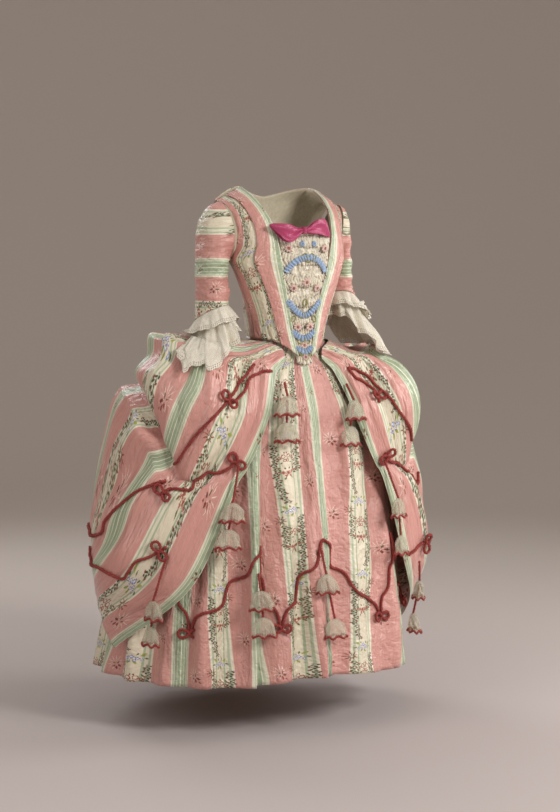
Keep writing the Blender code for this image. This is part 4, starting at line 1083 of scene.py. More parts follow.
        leaves(abs(x - 2.0), y, self.SPRAY_LEAVES)
        flowers(abs(x - 2.0), self.FLORETS, 5.0, ("98a4cc", "4f5c94", "f0eef2"))
        twig = abs(x + 1.5)
        for dx, dy, radius in self.CURLS:
            ox, oy = twig - dx, y - dy
            lay((0.85 - abs(graph.math("SQRT", ox * ox + oy * oy) - radius)).edge(0.5), "8f3a2c")
        leaves(twig, y, self.TWIG_LEAVES)
        leaves(abs(x + 0.5), y, self.ROSE_LEAVES)
        flowers(abs(x + 0.5), self.BUDS, 7.0, ("bb705a", "934031", "74301f"))

        for middle, height, size in self.SPRIGS:
            sx = (across - middle).wrap(-half_across, half_across)
            sy = (down - height).wrap(-half_down, half_down)
            if size == 1.0:
                ray = rays(sx + 5.0, sy + 6.0, Count=11.0, Start=4.0, Length=16.0, Width=1.1,
                           Turn=0.0)
                lay(ray * 0.9, "f1dfcf")
            leaves(sx, sy, self.SPRIG_LEAVES, size)
        return {"Color": colour, "Raised": raised}


@dataclass(frozen=True)
class StripedSilk:
    """Finish of the striped, flowered silk."""

    brocade: Brocade
    name: str = "striped silk"
    roughness: float = 0.30
    rib: float = 0.9

    def material(self) -> Material:
        """Builds the material."""
        material, graph, shader = new_material(self.name)
        u, v = cloth_place(graph)
        cloth = graph.group(self.brocade.cloth, U=u, V=v)
        weave = graph.group(self.brocade.weave, U=u, V=v, Rib=self.rib)
        streak = (weave("Streak") - 0.5) * 0.5
        colour = graph.mix(streak.most(0.0), cloth("Color"), dye("f6e6d8"))
        colour = graph.mix((streak * -1.0).most(0.0), colour, dye("8a6a5c"))
        height = weave("Height") + weave("Crumple")
        rough = weave("Streak") * 0.2 + cloth("Raised") * 0.2 + (self.roughness - 0.1)
        finish(graph, shader, colour, rough, height, sheen=0.12)
        return material


@dataclass(frozen=True)
class PlainCloth:
    """Finish of a cloth of one dye, with soft changes of colour and a weave."""

    brocade: Brocade
    name: str
    code: str
    shade: str
    roughness: float = 0.6
    sheen: float = 0.3
    rib: float = 0.9
    grain: float = 0.12
    crisp: float = 0.3

    def material(self) -> Material:
        """Builds the material."""
        material, graph, shader = new_material(self.name)
        u, v = cloth_place(graph)
        weave = graph.group(self.brocade.weave, U=u, V=v, Rib=self.rib, Crisp=self.crisp)
        patch = graph.noise(graph.join(u, v), self.grain, 3.0)
        colour = graph.mix(((patch - 0.42) * 3.0).edge(2.0), dye(self.shade), dye(self.code))
        rough = weave("Streak") * 0.2 + (self.roughness - 0.1)
        height = weave("Height") * 1.5 + weave("Crumple")
        finish(graph, shader, colour, rough, height, sheen=self.sheen)
        return material


@dataclass(frozen=True)
class Net:
    """Finish of a ribbed net, with painted shade in its ribs' troughs and a lace edge near the free
    edge, where v is zero.
    """

    brocade: Brocade
    name: str = "ribbed net"
    code: str = "fbf6e9"
    # the darker dye: painted shade in the ribs' troughs, and patches of random tone
    shade: str = "d9d0ba"
    open_share: float = 0.42
    bar: float = 0.2
    rib: float = 3.2
    mesh: float = 1.6  # between two holes
    lace: float = 14.0
    roughness: float = 0.75

    def material(self) -> Material:
        """Builds the material."""
        material, graph, shader = new_material(self.name)
        u, v = cloth_place(graph)
        weave = graph.group(self.brocade.weave, U=u, V=v, Rib=0.9, Crisp=0.5)
        rib = (u * (FULL_TURN / self.rib)).sin() * 0.5 + 0.5
        in_lace = (self.lace - v).edge(1.0)
        flower = graph.group(self.brocade.blossom, X=u.wrap(-3.0, 3.0),
                             Y=(v - 6.0).wrap(-3.0, 3.0), Radius=2.3, Petals=4.0)
        eyelet = flower("Mask") * in_lace
        mesh = FULL_TURN / self.mesh
        holes = ((u * mesh).sin() * (v * mesh).sin() - self.bar).edge(0.3)
        patch = graph.noise(graph.join(u, v), 0.06, 2.0)
        # The ribs' crests are painted lighter and their troughs darker, as painted light and shade
        # on the narrow pleats, over patches of random tone.
        share = ((patch - 0.5) * 2.0).edge(1.6) * 0.5 + rib * 0.4
        colour = graph.mix(share, dye(self.shade), dye(self.code))
        height = rib * 0.0004 + weave("Crumple") - eyelet * 0.0004
        finish(graph, shader, colour, weave("Streak") * 0.1 + self.roughness, height, sheen=0.2)
        graph.put(shader.inputs["Alpha"], 1.0 - (holes * self.open_share).most(eyelet * 0.75))
        return material


@dataclass(frozen=True)
class Chenille:
    """Finish of the furry red cord."""

    name: str = "red chenille"
    code: str = "a8463f"
    shade: str = "6b2220"

    def material(self) -> Material:
        """Builds the material."""
        material, graph, shader = new_material(self.name)
        place = Signal(graph, graph.add("ShaderNodeTexCoord").outputs["Object"])
        pile = graph.noise(place, 900.0, 2.0)
        patch = graph.noise(place, 160.0, 2.0)
        share = (pile * 0.6 + patch * 0.6 - 0.6).edge(0.5)
        colour = graph.mix(share, dye(self.shade), dye(self.code))
        finish(graph, shader, colour, pile * 0.1 + 0.85, pile * 0.0008, sheen=0.9)
        shader.inputs["Sheen Tint"].default_value = dye("e08a80")
        return material


def new_material(name: str) -> tuple[Material, Graph, Node]:
    """A material with its node tree and its Principled shader."""
    material = bpy.data.materials.new(name)
    material.use_nodes = True
    return material, Graph(material.node_tree), material.node_tree.nodes["Principled BSDF"]


def cloth_place(graph: Graph) -> tuple[Signal, Signal]:
    """The place on the flat cloth, in millimetres across and down."""
    node = graph.add("ShaderNodeUVMap", {"uv_map": UV_NAME})
    parts = graph.add("ShaderNodeSeparateXYZ", Vector=Signal(graph, node.outputs[0]))
    return Signal(graph, parts.outputs[0]) * 1000.0, Signal(graph, parts.outputs[1]) * 1000.0


def finish(
    graph: Graph, shader: Node, colour: Signal, roughness: Signal, height: Signal,
    sheen: float,
) -> None:
    """Feeds a shader its colour, its roughness and its relief.

    Args:
        graph: The material's nodes.
        shader: Its Principled shader.
        colour: The base colour.
        roughness: The roughness.
        height: The height of the relief in metres.
        sheen: The weight of the sheen.
    """
    bump = graph.add("ShaderNodeBump", Distance=1.0, Height=height, Strength=1.0)
    graph.put(shader.inputs["Base Color"], colour)
    graph.put(shader.inputs["Roughness"], roughness)
    graph.put(shader.inputs["Normal"], Signal(graph, bump.outputs[0]))
    shader.inputs["Sheen Weight"].default_value = sheen
    shader.inputs["Sheen Roughness"].default_value = 0.4


class Finishes:
    """The materials of the garment, each built once."""

    def __init__(self) -> None:
        """Builds the shared groups and then the materials."""
        brocade = Brocade()
        self.striped = StripedSilk(brocade).material()
        self.net = Net(brocade).material()
        self.gauze = Net(
            brocade, "gauze", "e8e1cd", "b5ad94", open_share=0.90, bar=-0.4, rib=5.0, lace=0.0,
            roughness=0.55,
        ).material()
        self.chenille = Chenille().material()

        def plain(name: str, code: str, shade: str, **sizes: float) -> Material:
            """Builds a plain cloth's material."""
            return PlainCloth(brocade, name, code, shade, **sizes).material()

        self.linen = plain("linen lining", "c9bfa8", "b3a88f", roughness=0.85, sheen=0.1)
        self.cream = plain("ruched cream silk", "f3ecda", "b8ab90", roughness=0.5, grain=0.11,
                           crisp=1.0)
        self.heart = plain("rose heart", "a86a64", "74403c")
        self.satin = plain("magenta satin", "b8446f", "9c3159", roughness=0.34, sheen=0.2, rib=1.6,
                           crisp=0.2)
        self.ribbon = plain("blue ribbon", "a9bed8", "6c8ab2", roughness=0.4, grain=0.3)
        self.petal = plain("rose ribbon", "e4cdbf", "bd8f82", roughness=0.5, grain=0.3)
        self.leaf = plain("leaf cord", "a3a062", "5f6034", roughness=0.8, grain=0.3)


def in_scene(name: str, data: ID) -> Object:
    """A new object in the scene."""
    piece = bpy.data.objects.new(name, data)
    bpy.context.scene.collection.objects.link(piece)
    return piece


def corners(index: Grid) -> Grid:
    """The four corners of each face of a grid."""
    sides = [index[:-1, :-1], index[:-1, 1:], index[1:, 1:], index[1:, :-1]]
    return np.stack(sides, -1).reshape(-1, 4)


def walled(
    name: str, points: Grid, faces: Grid, uv: Grid, materials: Sequence[Material],
    wall: float,
) -> Object:
    """Makes a piece whose wall lies inside its faces.

    Args:
        name: The piece's name.
        points: Its points, one a row.
        faces: The four points of each face.
        uv: The place on the flat cloth of each face's corners.
        materials: The outer face's material, and the lining's if it has one.
        wall: The thickness.

    Returns:
        The piece.
    """
    mesh = bpy.data.meshes.new(name)
    mesh.from_pydata(points.tolist(), [], faces.tolist())
    layer = mesh.uv_layers.new(name=UV_NAME)
    layer.data.foreach_set("uv", uv.astype(np.float32).reshape(-1))
    mesh.shade_smooth()
    for material in materials:
        mesh.materials.append(material)
    piece = in_scene(name, mesh)
    solid = piece.modifiers.new("wall", "SOLIDIFY")
    solid.thickness, solid.offset = wall, -1
    solid.material_offset = len(materials) - 1
    return piece


def cloth(
    name: str, points: Grid, uv: Grid, materials: Sequence[Material], wall: float,
    closed: bool = False,
) -> Object:
    """Makes a panel whose wall lies inside the face that its points give.

    Args:
        name: The piece's name.
        points: Rows that run down; columns run round the body by the front to the right.
        uv: The place of each point on the flat cloth, with one more column on a closed piece.
        materials: The outer face's material, and the lining's if it has one.
        wall: The thickness.
        closed: Whether the last column joins the first.

    Returns:
        The piece.
    """
    rows, columns = points.shape[:2]
    index = np.arange(rows * columns).reshape(rows, columns)
    if closed:
        index = np.concatenate([index, index[:, :1]], 1)
    places = corners(np.arange(index.size).reshape(index.shape))
    flat = uv.reshape(-1, 2)[places]
    return walled(name, points.reshape(-1, 3), corners(index), flat, materials, wall)


def dressed(piece: Object, slot: str, *nodes: str) -> Object:
    """Lets a piece ride on the garment and stand for its nodes."""
    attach(piece, "root")
    if nodes:
        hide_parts(*nodes)
    stands_for = ", ".join(nodes) or "nothing"
    LOG.info("%s: %d faces, stands for %s", piece.name, len(piece.data.polygons), stands_for)
    return piece


def crumpled(u: Grid, v: Grid, layers: Sequence[Layer], creases: Sequence[Crease]) -> Grid:
    """The height of small creases, in layers, and of main ones at places on the flat cloth."""
    height = sum(depth * soft_noise(u / wide, v / long, seed) for depth, wide, long, seed in layers)
    return height + ridges(u, v, creases)


def creased(
    grid: Grid, u: Grid, v: Grid, layers: Sequence[Layer], ease: Grid | float = 1.0,
    creases: Sequence[Crease] = (),
) -> Grid:
    """A face with soft creases along its normals.

    Args:
        grid: The face's points.
        u: Places across the cloth in metres.
        v: Places down the cloth in metres.
        layers: For each kind of small crease its height, its width, its length and its seed.
        ease: A share of the height for each point.
        creases: The main creases.

    Returns:
        The points, moved.
    """
    return grid + outward_of(grid) * (crumpled(u, v, layers, creases) * ease)[..., None]


def ridges(u: Grid, v: Grid, creases: Sequence[Crease]) -> Grid:
    """The height of main creases at places on the flat cloth."""
    total = np.zeros(np.broadcast(u, v).shape)
    for crease in creases:
        way = np.array((crease.end_u - crease.u, crease.end_v - crease.v))
        length = math.hypot(*way)
        share = ((u - crease.u) * way[0] + (v - crease.v) * way[1]) / length**2
        aside = ((u - crease.u) * way[1] - (v - crease.v) * way[0]) / length
        ends = np.clip(share / CREASE_END, 0, 1) * np.clip((1 - share) / CREASE_END, 0, 1)
        steeper = np.where(aside > 0, 1 - max(crease.steep, 0), 1 + min(crease.steep, 0))
        profile = np.exp(-((aside / (crease.width * steeper)) ** 2))
        total += crease.height * ends * ends * (3 - 2 * ends) * profile
    return total


def each_side(face: Grid, uv: Grid) -> Iterator[tuple[Side, Grid, Grid]]:
    """A panel made for the left and its twin: the side, its points and their places."""
    yield Side.RIGHT, mirrored(face), turned(uv)
    yield Side.LEFT, face, uv


@dataclass
class Petticoat:
    """The striped petticoat."""

    finishes: Finishes
    steps: int = 18
    rows: int = 84
    width: float = 2.688
    smooth_top: float = 0.2  # the depth over which the small creases begin
    low_drop: float = 0.83
    high_drop: float = 0.27
    # Places across the cloth at phases of the folds, near the hem and at the knee.
    low: Rows = (
        (0.0, 1.288), (7.18, 0.2005), (7.84, 0.1435), (8.36, 0.0805), (8.86, 0.037), (8.98, -0.058),
        (9.12, -0.0805), (9.70, -0.1435), (10.32, -0.2005), (11.06, -0.2475), (11.10, -0.27),
        (11.24, -0.3045), (11.82, -0.3675), (12.46, -0.4245), (12.82, -0.4715), (13.48, -0.5285),
        (14.40, -0.5915), (14.96, -0.6485), (20.0, -1.40),
    )
    high: Rows = (
        (0.0, 1.288), (6.9, 0.2005), (7.5, 0.1435), (8.16, 0.0805), (8.68, 0.0235), (9.0, -0.0235),
        (9.3, -0.0805), (10.44, -0.1435), (10.75, -0.2005), (11.5, -0.27), (12.3, -0.36),
        (20.0, -1.40),
    )
    # How far the pattern is let down at places across the cloth.
    let_down: Rows = (
        (-0.336, -0.031), (-0.112, -0.038), (0.112, -0.021),
    )
    layers: tuple[Layer, ...] = (
        (0.0022, 0.030, 0.30, 3), (0.0014, 0.014, 0.16, 4), (0.0014, 0.10, 0.035, 5),
    )
    face: Grid = field(init=False)
    phases: Grid = field(init=False)
    drops: Grid = field(init=False)

    def across(self, phase: Grid, drop: Grid) -> Grid:
        """The place across the cloth at phases and drops."""
        low_phase, low_u = zip(*self.low)
        high_phase, high_u = zip(*self.high)
        share = np.clip((drop - self.high_drop) / (self.low_drop - self.high_drop), 0, 1)
        low, high = np.interp(phase, low_phase, low_u), np.interp(phase, high_phase, high_u)
        return high * (1 - share) + low * share

    def build(self) -> None:
        """Builds the piece."""
        count = len(PETTICOAT_FOLDS) * self.steps
        drops = HEM_DROP * np.linspace(0, 1, self.rows)
        phase, drop = grid_of(drops, np.arange(count + 1) / self.steps)
        face = petticoat_face(phase, drop)
        length = run_down(face)
        u = self.across(phase, drop)
        places, shifts = zip(*self.let_down)
        v = HEM_DROP - (length[-1:] - length) + np.interp(u, places, shifts)
        ease = np.minimum(1, phase) * np.minimum(1, len(PETTICOAT_FOLDS) - phase)
        ease = ease * np.clip(drop / self.smooth_top, 0, 1)
        face = creased(face, u, v, self.layers, ease, PETTICOAT_CREASES)
        self.face, self.phases, self.drops = face, phase[0], drops
        uv = np.stack([u, v], -1)
        silk = [self.finishes.striped]
        piece = cloth("petticoat_cloth", face[:, :-1], uv, silk, SILK_WALL, closed=True)
        dressed(piece, "striped_silk", "petticoat")


@dataclass
class RobeSkirts:
    """The two puffed robe skirts and the sack that falls from the neck between them."""

    finishes: Finishes
    columns: int = 130
    rows: int = 160
    sack_columns: int = 80
    sack_rows: int = 33  # above the waist
    width: float = 0.70
    bunch: float = 0.12  # how far the cloth is gathered more at the front edge
    pleat: float = 0.0035
    pleat_width: float = 0.036
    pleat_sway: float = 0.012
    pleat_reach: float = 0.09
    join_rows: int = 8  # from the sack's upper to its lower cloth
    waist_ease: float = 0.06  # of the way down and across, over which the creases begin
    edge_ease: float = 0.03
    crowding: float = 1.35  # of the columns towards the front edge
    layers: tuple[Layer, ...] = (
        (0.0030, 0.045, 0.22, 10), (0.0024, 0.022, 0.10, 11), (0.0022, 0.12, 0.05, 12),
    )
    creases: ClassVar = {Side.RIGHT: (0, RIGHT_CREASES), Side.LEFT: (20, LEFT_CREASES)}
    sack_layers: tuple[Layer, ...] = ((0.0024, 0.05, 0.30, 51), (0.0018, 0.022, 0.12, 52))
    skirt_flat: tuple[float, float] = (0.70, 1.20)
    sack_flat: tuple[float, float] = (0.392, 1.50)
    faces: dict[Side, tuple[Grid, Grid, Grid]] = field(init=False, default_factory=dict)

    def build(self) -> None:
        """Builds the pieces."""
        for side in Side:
            self._skirt(side)
        self._sack()

    def _skirt(self, side: Side) -> None:
        """Builds one skirt."""
        places = (1 - SACK_SHARE) * np.linspace(0, 1, self.columns) ** self.crowding
        across, down = grid_of(np.linspace(0, 1, self.rows), places)
        face = robe_face(across, down, side)
        length = run_down(face)
        arc = run_across(face)
        share = arc / arc[:, -1:]
        u = self.width * share * (1 - self.bunch + self.bunch * share)
        v = length - 0.5 * length[:, :1]
        past, creases = self.creases[side]
        layers = [(*sizes, seed + past) for *sizes, seed in self.layers]
        puffed = np.clip(down / self.waist_ease, 0, 1)
        puffed = puffed * np.clip((across + 0.004) / self.edge_ease, 0, 1)
        swayed = u + self.pleat_sway * np.sin(19 * u)
        pleats = self.pleat * np.cos(FULL_TURN * swayed / self.pleat_width)
        height = crumpled(u, v, layers, creases) + pleats * np.exp(-np.abs(v) / self.pleat_reach)
        face = face + side.value * outward_of(face) * (height * puffed)[..., None]
        self.faces[side] = (face, np.linspace(0, 1, self.rows), places)
        uv = np.stack([u, v], -1)
        if side is Side.LEFT:
            face, uv = turned(face), turned(uv)
        silk = [self.finishes.striped]
        piece = cloth(f"robe_skirt_cloth_{side.word}", face, uv, silk, SILK_WALL)
        dressed(piece, "striped_silk", f"robe_skirt_{side.word}")

    def _sack(self) -> None:
        """Builds the sack from the neck to the hem."""
        half = np.linspace(1 - SACK_SHARE + SACK_GAP, 1, self.sack_columns // 2 + 1)
        across, down = grid_of(np.linspace(0, 1, self.rows), half)
        right, left = robe_face(across, down, Side.RIGHT), robe_face(across, down, Side.LEFT)
        lower = np.concatenate([left, right[:, -2::-1]], 1)
        share = np.linspace(1, -1, lower.shape[1])
        box = 1 - np.abs(share) ** 3
        above = spread(SACK_ROWS, np.linspace(0, 1, self.sack_rows)[:, None])
        back_half = spread(BACK_ROWS, above.up).half_x
        place = np.arcsin(share * above.half_x / back_half) * 2 / np.pi
        upper = bodice_back_face(np.broadcast_to(above.up, place.shape), place)
        wave = above.pleat * (np.cos(SACK_PLEATS * np.pi * share) - 1) * box
        upper[..., 1] += SACK_LIFT + above.stand * box + wave
        join = np.linspace(0, 1, self.join_rows)[1:-1, None, None]
        face = np.concatenate([upper, upper[-1:] * (1 - join) + lower[:1] * join, lower])
        u_half = self.width + (half - 1 + SACK_SHARE) / SACK_SHARE * self.sack_flat[0] / 2
        u_whole = np.concatenate([u_half, 2 * u_half[-1] - u_half[-2::-1]])
        u = np.broadcast_to(u_whole, face.shape[:2])
        v = run_down(face)
        face, u, v = face[:, ::-1], u[:, ::-1], v[:, ::-1]
        inner = np.clip((1 - np.abs(share)) / 0.1, 0, 1)
        face = creased(face, u, v, self.sack_layers, inner, SACK_CREASES)
        silk = [self.finishes.striped]
        piece = cloth("robe_back_cloth", face, np.stack([u, v], -1), silk, SILK_WALL)
        dressed(piece, "striped_silk", "robe_back")


@dataclass
class Bodice:
    """The fitted bodice, its robings and its stomacher."""

    finishes: Finishes
    middle_across: float = 0.45
    middle_u: float = 0.0985
    slope: float = 0.1286
    back_u: float = 0.896  # the silk's place at the centre back
    back_half: float = 0.20
    robing_u: float = 0.0085
    robing_width: float = 0.040
    fullness: float = 1.6  # of the stomacher's silk, before it was ruched
    ease: float = 0.1  # of a front's width, over which its creases begin
    front_reach: float = 0.988  # of the way up to the shoulder
    robing_reach: float = 0.99
    front_layers: tuple[Layer, ...] = ((0.0012, 0.03, 0.02, 61), (0.0008, 0.012, 0.05, 62))
    robing_layers: tuple[Layer, ...] = ((0.0009, 0.02, 0.03, 71),)
    ruched_layers: tuple[Layer, ...] = (
        (0.0034, 0.014, 0.024, 81), (0.0028, 0.008, 0.012, 82), (0.0018, 0.03, 0.01, 83),
    )

    def build(self) -> None:
        """Builds the pieces."""
        self._fronts()
        self._back()
        self._robings()
        self._stomacher()

    def _fronts(self) -> None:
        """Builds the two fronts."""
        across, up = grid_of(np.linspace(1, 0, 44), np.linspace(self.front_reach, 0, 40))
        face = bodice_front_face(up, across)
        u = self.middle_u + (across - self.middle_across) * self.slope
        v = run_down(face)
        inner = np.clip(across / self.ease, 0, 1) * np.clip((1 - across) / self.ease, 0, 1)
        face = creased(face, u, v, self.front_layers, inner)
        uv = np.stack([u, v], -1)
        silks = [self.finishes.striped, self.finishes.linen]
        for side, points, places in each_side(face, uv):
            piece = cloth(f"bodice_front_cloth_{side.word}", points, places, silks, SILK_WALL)
            dressed(piece, "striped_silk", f"bodice_front_{side.word}")

    def _back(self) -> None:
        """Builds the fitted back."""
        across, up = grid_of(np.linspace(1, 0, 40), np.linspace(-1, 1, 64))
        face = bodice_back_face(up, across)
        u, v = self.back_u - across * self.back_half, run_down(face)
        silks = [self.finishes.striped, self.finishes.linen]
        piece = cloth("bodice_back_cloth", face, np.stack([u, v], -1), silks, SILK_WALL)
        dressed(piece, "striped_silk", "bodice_back")

    def _robings(self) -> None:
        """Builds the bands beside the stomacher."""
        across, up = grid_of(np.linspace(self.robing_reach, 0, 60), np.linspace(1, 0, 16))
        width = ROBING_WIDTH + (ROBING_TOP_WIDTH - ROBING_WIDTH) * up**2
        base = bodice_front_face(up, across * width)
        band = base + ROBING_STAND * outward_of(base)
        u, v = self.robing_u + across * self.robing_width, run_down(band)
        inner = np.minimum(1, 4 * across * (1 - across))
        band = creased(band, u, v, self.robing_layers, inner)
        uv = np.stack([u, v], -1)
        silk = [self.finishes.striped]
        for side, points, places in each_side(band, uv):
            piece = cloth(f"robing_cloth_{side.word}", points, places, silk, SILK_WALL)
            dressed(piece, "striped_silk", f"robing_{side.word}")
            f"bodice_front_cloth_{side.word}"

    def _stomacher(self) -> None:
        """Builds the ruched panel in the front opening."""
        across, up = grid_of(np.linspace(0, 1, 120), np.linspace(1, -1, 90))
        face = stomacher_face(up, across)
        u, v = face[..., 0] * self.fullness, run_down(face) * self.fullness
        inner = np.clip((1 - np.abs(across)) / 0.25, 0, 1)
        face = creased(face, u, v, self.ruched_layers, inner)
        cream = [self.finishes.cream]
        piece = cloth("stomacher_cloth", face, np.stack([u, v], -1), cream, SILK_WALL)
        dressed(piece, "ruched_silk", "stomacher")


@dataclass
class Sleeves:
    """The tight sleeves, and the ruffles that fall from their ends."""

    finishes: Finishes
    green_height: float = 0.175
    crumple: float = 0.06
    lobes: int = 7
    lobe: float = 0.045
    least_top: float = 0.05  # of the skirt's upward direction where a ruffle may rest on it

    def build(self) -> None:
        """Builds the pieces."""
        for side in Side:
            self._sleeve(side)
        for side in Side:
            cover, outward = self._skirt_under(side)
            for tier in TIERS:
                self._ruffle(side, tier, cover, outward)

    def _sleeve(self, side: Side) -> None:
        """Builds one sleeve."""
        round_it, along = grid_of(np.linspace(0, 1, 56), np.arange(65) / 64)
        face = sleeve_face(along, round_it, side)
        u, v = self.green_height - face[..., 2], run_across(face)
        inner = np.clip(along / 0.08, 0, 1) * np.clip((1 - along) / 0.05, 0, 1)
        noise = ridges(u, v, SLEEVE_CREASES)
        for depth, wide, seed in ((0.0026, 0.022, 91), (0.0014, 0.010, 92)):
            ahead, behind = (soft_noise(u / wide, round_it * 6 - back, seed) for back in (0, 6))
            noise = noise + depth * (ahead * (1 - round_it) + behind * round_it)
        push = unit(face - face[:, :-1].mean(axis=1, keepdims=True)) * (noise * inner)[..., None]
        points, places = ringed(face + push, np.stack([u, v], -1), side)
        silks = [self.finishes.striped, self.finishes.linen]
        piece = cloth(f"sleeve_cloth_{side.word}", points, places, silks, SILK_WALL, closed=True)
        dressed(piece, "striped_silk", f"sleeve_{side.word}")

    def _skirt_under(self, side: Side) -> tuple[Grid, Grid]:
        """Points on top of the skirt under a ruffle, turned to the left, and the ways out of it."""
        across, down = grid_of(np.linspace(0, 0.4, 50), np.linspace(0.02, 0.95, 110))
        cover = robe_face(across, down, side) * (-side.value, 1, 1)
        outward = -outward_of(cover)
        on_top = outward[..., 2] > self.least_top
        return cover[on_top], outward[on_top]

    def _ruffle(self, side: Side, tier: Tier, cover: Grid, outward: Grid) -> None:
        """Builds one ruffle."""
        count = tier.waves * tier.steps
        round_it, down = grid_of(np.linspace(0, 1, tier.rows), np.arange(count + 1) / count)
        seam = sleeve_face(np.ones_like(down), round_it, side)
        radial = unit((seam - seam[:, :-1].mean(axis=(0, 1))) * (1, 1, 0))
        falls = tier.falls + tier.falls[:1]
        lean, forward, length = (value[..., None] for value in spread(falls, round_it))
        fall = radial * lean - (0, 1, 0) * forward
        fall = fall - (0, 0, 1) * np.sqrt(np.clip(1 - lean**2 - forward**2, 0.1, 1))
        around = FULL_TURN * round_it
        turn = tier.waves * around
        wave = 0.85 * tier.wave * (np.cos(turn) + 0.3 * np.cos(2 * turn + 3 * np.sin(around)))
        # The noise is read on a ring, so that it meets itself where the ruffle closes.
        crumple = soft_noise(5 * np.cos(around) + 20, 3 * down + 5 * np.sin(around) + 20, 140)
        wave = (wave + self.crumple * length[..., 0] * crumple)[..., None]
        lobes = 1 + self.lobe * np.sin(self.lobes * around + 1) + 0.4 * self.lobe * np.cos(2 * turn)
        length = length * lobes[..., None]
        deep = down[..., None]
        points = seam + radial * (wave * deep**0.8 - tier.inset) + fall * length * deep
        points = resting(points - (0, 0, SEAM_DROP), cover, outward, tier.gap)
        points[:, -1] = points[:, 0]
        u, v = np.broadcast_to(run_across(points)[-1:], down.shape), run_down(points)
        points, places = ringed(points, np.stack([u, v[-1:] - v], -1), side)
        name, net = f"{tier.name}_cloth_{side.word}", [self.finishes.net]
        piece = cloth(name, points, places, net, NET_WALL, closed=True)
        dressed(piece, "net", f"{tier.name}_{side.word}")


def ringed(points: Grid, uv: Grid, side: Side) -> tuple[Grid, Grid]:
    """A ring made for the left, with its closing column, as a closed piece on either side."""
    if side is Side.LEFT:
        return turned(points)[:, :-1], turned(uv)
    return (points * (-1, 1, 1))[:, :-1], uv


def resting(points: Grid, cover: Grid, outward: Grid, gap: float, passes: int = 5) -> Grid:
    """The points, each moved out to lie at least a gap over the cloth beneath it.

    Args:
        points: The points to move.
        cover: Points all over the cloth beneath.
        outward: The directions out of that cloth.
        gap: The least distance.
        passes: How many rounds of moves.

    Returns:
        The points, moved.
    """
    tree = KDTree(len(cover))
    for k, place in enumerate(cover):
        tree.insert(place, k)
    tree.balance()
    flat = points.reshape(-1, 3).copy()
    for _ in range(passes):
        near = np.array([tree.find(point)[1] for point in flat])
        depth = gap - ((flat - cover[near]) * outward[near]).sum(-1)
        flat += np.maximum(depth, 0)[:, None] * outward[near]
    return flat.reshape(points.shape)


class Pile:
    """Geometry nodes that lay a furry cord along a line of edges."""

    # The tree's inputs, with the value each has until it is set.
    SIZES = (("Radius", 0.003), ("Step", CORD_STEP), ("Pile", 0.002), ("Density", 60000.0))
    SIDES = 7
    HAIR_RADIUS = 0.0007
    LEAN = 0.6  # how far a hair leans, in radians

    def __init__(self, material: Material) -> None:
        """Builds the tree."""
        tree = bpy.data.node_groups.new("chenille cord", "GeometryNodeTree")
        face = tree.interface
        face.new_socket("Line", in_out="INPUT", socket_type="NodeSocketGeometry")
        self.sockets = {}
        for word, value in self.SIZES:
            socket = face.new_socket(word, in_out="INPUT", socket_type="NodeSocketFloat")
            socket.default_value = value
            self.sockets[word] = socket.identifier
        seed = face.new_socket("Seed", in_out="INPUT", socket_type="NodeSocketInt")
        self.sockets["Seed"] = seed.identifier
        face.new_socket("Cord", in_out="OUTPUT", socket_type="NodeSocketGeometry")
        self.tree = tree
        given = tree.nodes.new("NodeGroupInput").outputs
        leave = tree.nodes.new("NodeGroupOutput")
        add = Graph(tree).add
        curve = add("GeometryNodeMeshToCurve", Mesh=given["Line"])
        even = add("GeometryNodeResampleCurve", {"mode": "LENGTH"}, Curve=curve.outputs[0],
                   Length=given["Step"])
        ring = add("GeometryNodeCurvePrimitiveCircle", Resolution=self.SIDES,
                   Radius=given["Radius"])
        tube = add("GeometryNodeCurveToMesh", Curve=even.outputs[0],
                   Profile_Curve=ring.outputs[0], Fill_Caps=True)
        points = add("GeometryNodeDistributePointsOnFaces", Mesh=tube.outputs[0],
                     Density=given["Density"], Seed=given["Seed"])
        hair = add("GeometryNodeMeshCone", Vertices=3, Radius_Top=0.0,
                   Radius_Bottom=self.HAIR_RADIUS, Depth=given["Pile"])
        lean = add("FunctionNodeRandomValue", {"data_type": "FLOAT_VECTOR"},
                   Min=(-self.LEAN, -self.LEAN, 0.0), Max=(self.LEAN, self.LEAN, 6.28),
                   Seed=given["Seed"])
        turn = add("FunctionNodeRotateRotation", {"rotation_space": "LOCAL"},
                   Rotation=points.outputs["Rotation"], Rotate_By=lean.outputs[0])
        fur = add("GeometryNodeInstanceOnPoints", Points=points.outputs["Points"],
                  Instance=hair.outputs["Mesh"], Rotation=turn.outputs[0])
        both = add("GeometryNodeJoinGeometry", Geometry=fur.outputs[0])
        tree.links.new(tube.outputs[0], both.inputs[0])
        real = add("GeometryNodeRealizeInstances", Geometry=both.outputs[0])
        dyed = add("GeometryNodeSetMaterial", Geometry=real.outputs[0], Material=material)
        tree.links.new(dyed.outputs[0], leave.inputs["Cord"])

    def lay(self, name: str, lines: Sequence[Line], **sizes: float) -> Object:
        """Makes a cord along lines.

        Args:
            name: The piece's name.
            lines: The lines, each a row of points and whether it closes.
            **sizes: Values of the tree's inputs.

        Returns:
            The piece, a plain mesh.
        """
        points, edges = [], []
        for line, closed in lines:
            start, count = len(points), len(line)
            points += line.tolist()
            steps = range(count if closed else count - 1)
            edges += [(start + k, start + (k + 1) % count) for k in steps]
        mesh = bpy.data.meshes.new(name)
        mesh.from_pydata(points, edges, [])
        source = in_scene(name + "_line", mesh)
        modifier = source.modifiers.new("nodes", "NODES")
        modifier.node_group = self.tree
        for word, value in sizes.items():
            modifier[self.sockets[word]] = value
        graph = bpy.context.evaluated_depsgraph_get()
        result = bpy.data.meshes.new_from_object(source.evaluated_get(graph), depsgraph=graph)
        result.name = name
        bpy.data.objects.remove(source)
        return in_scene(name, result)


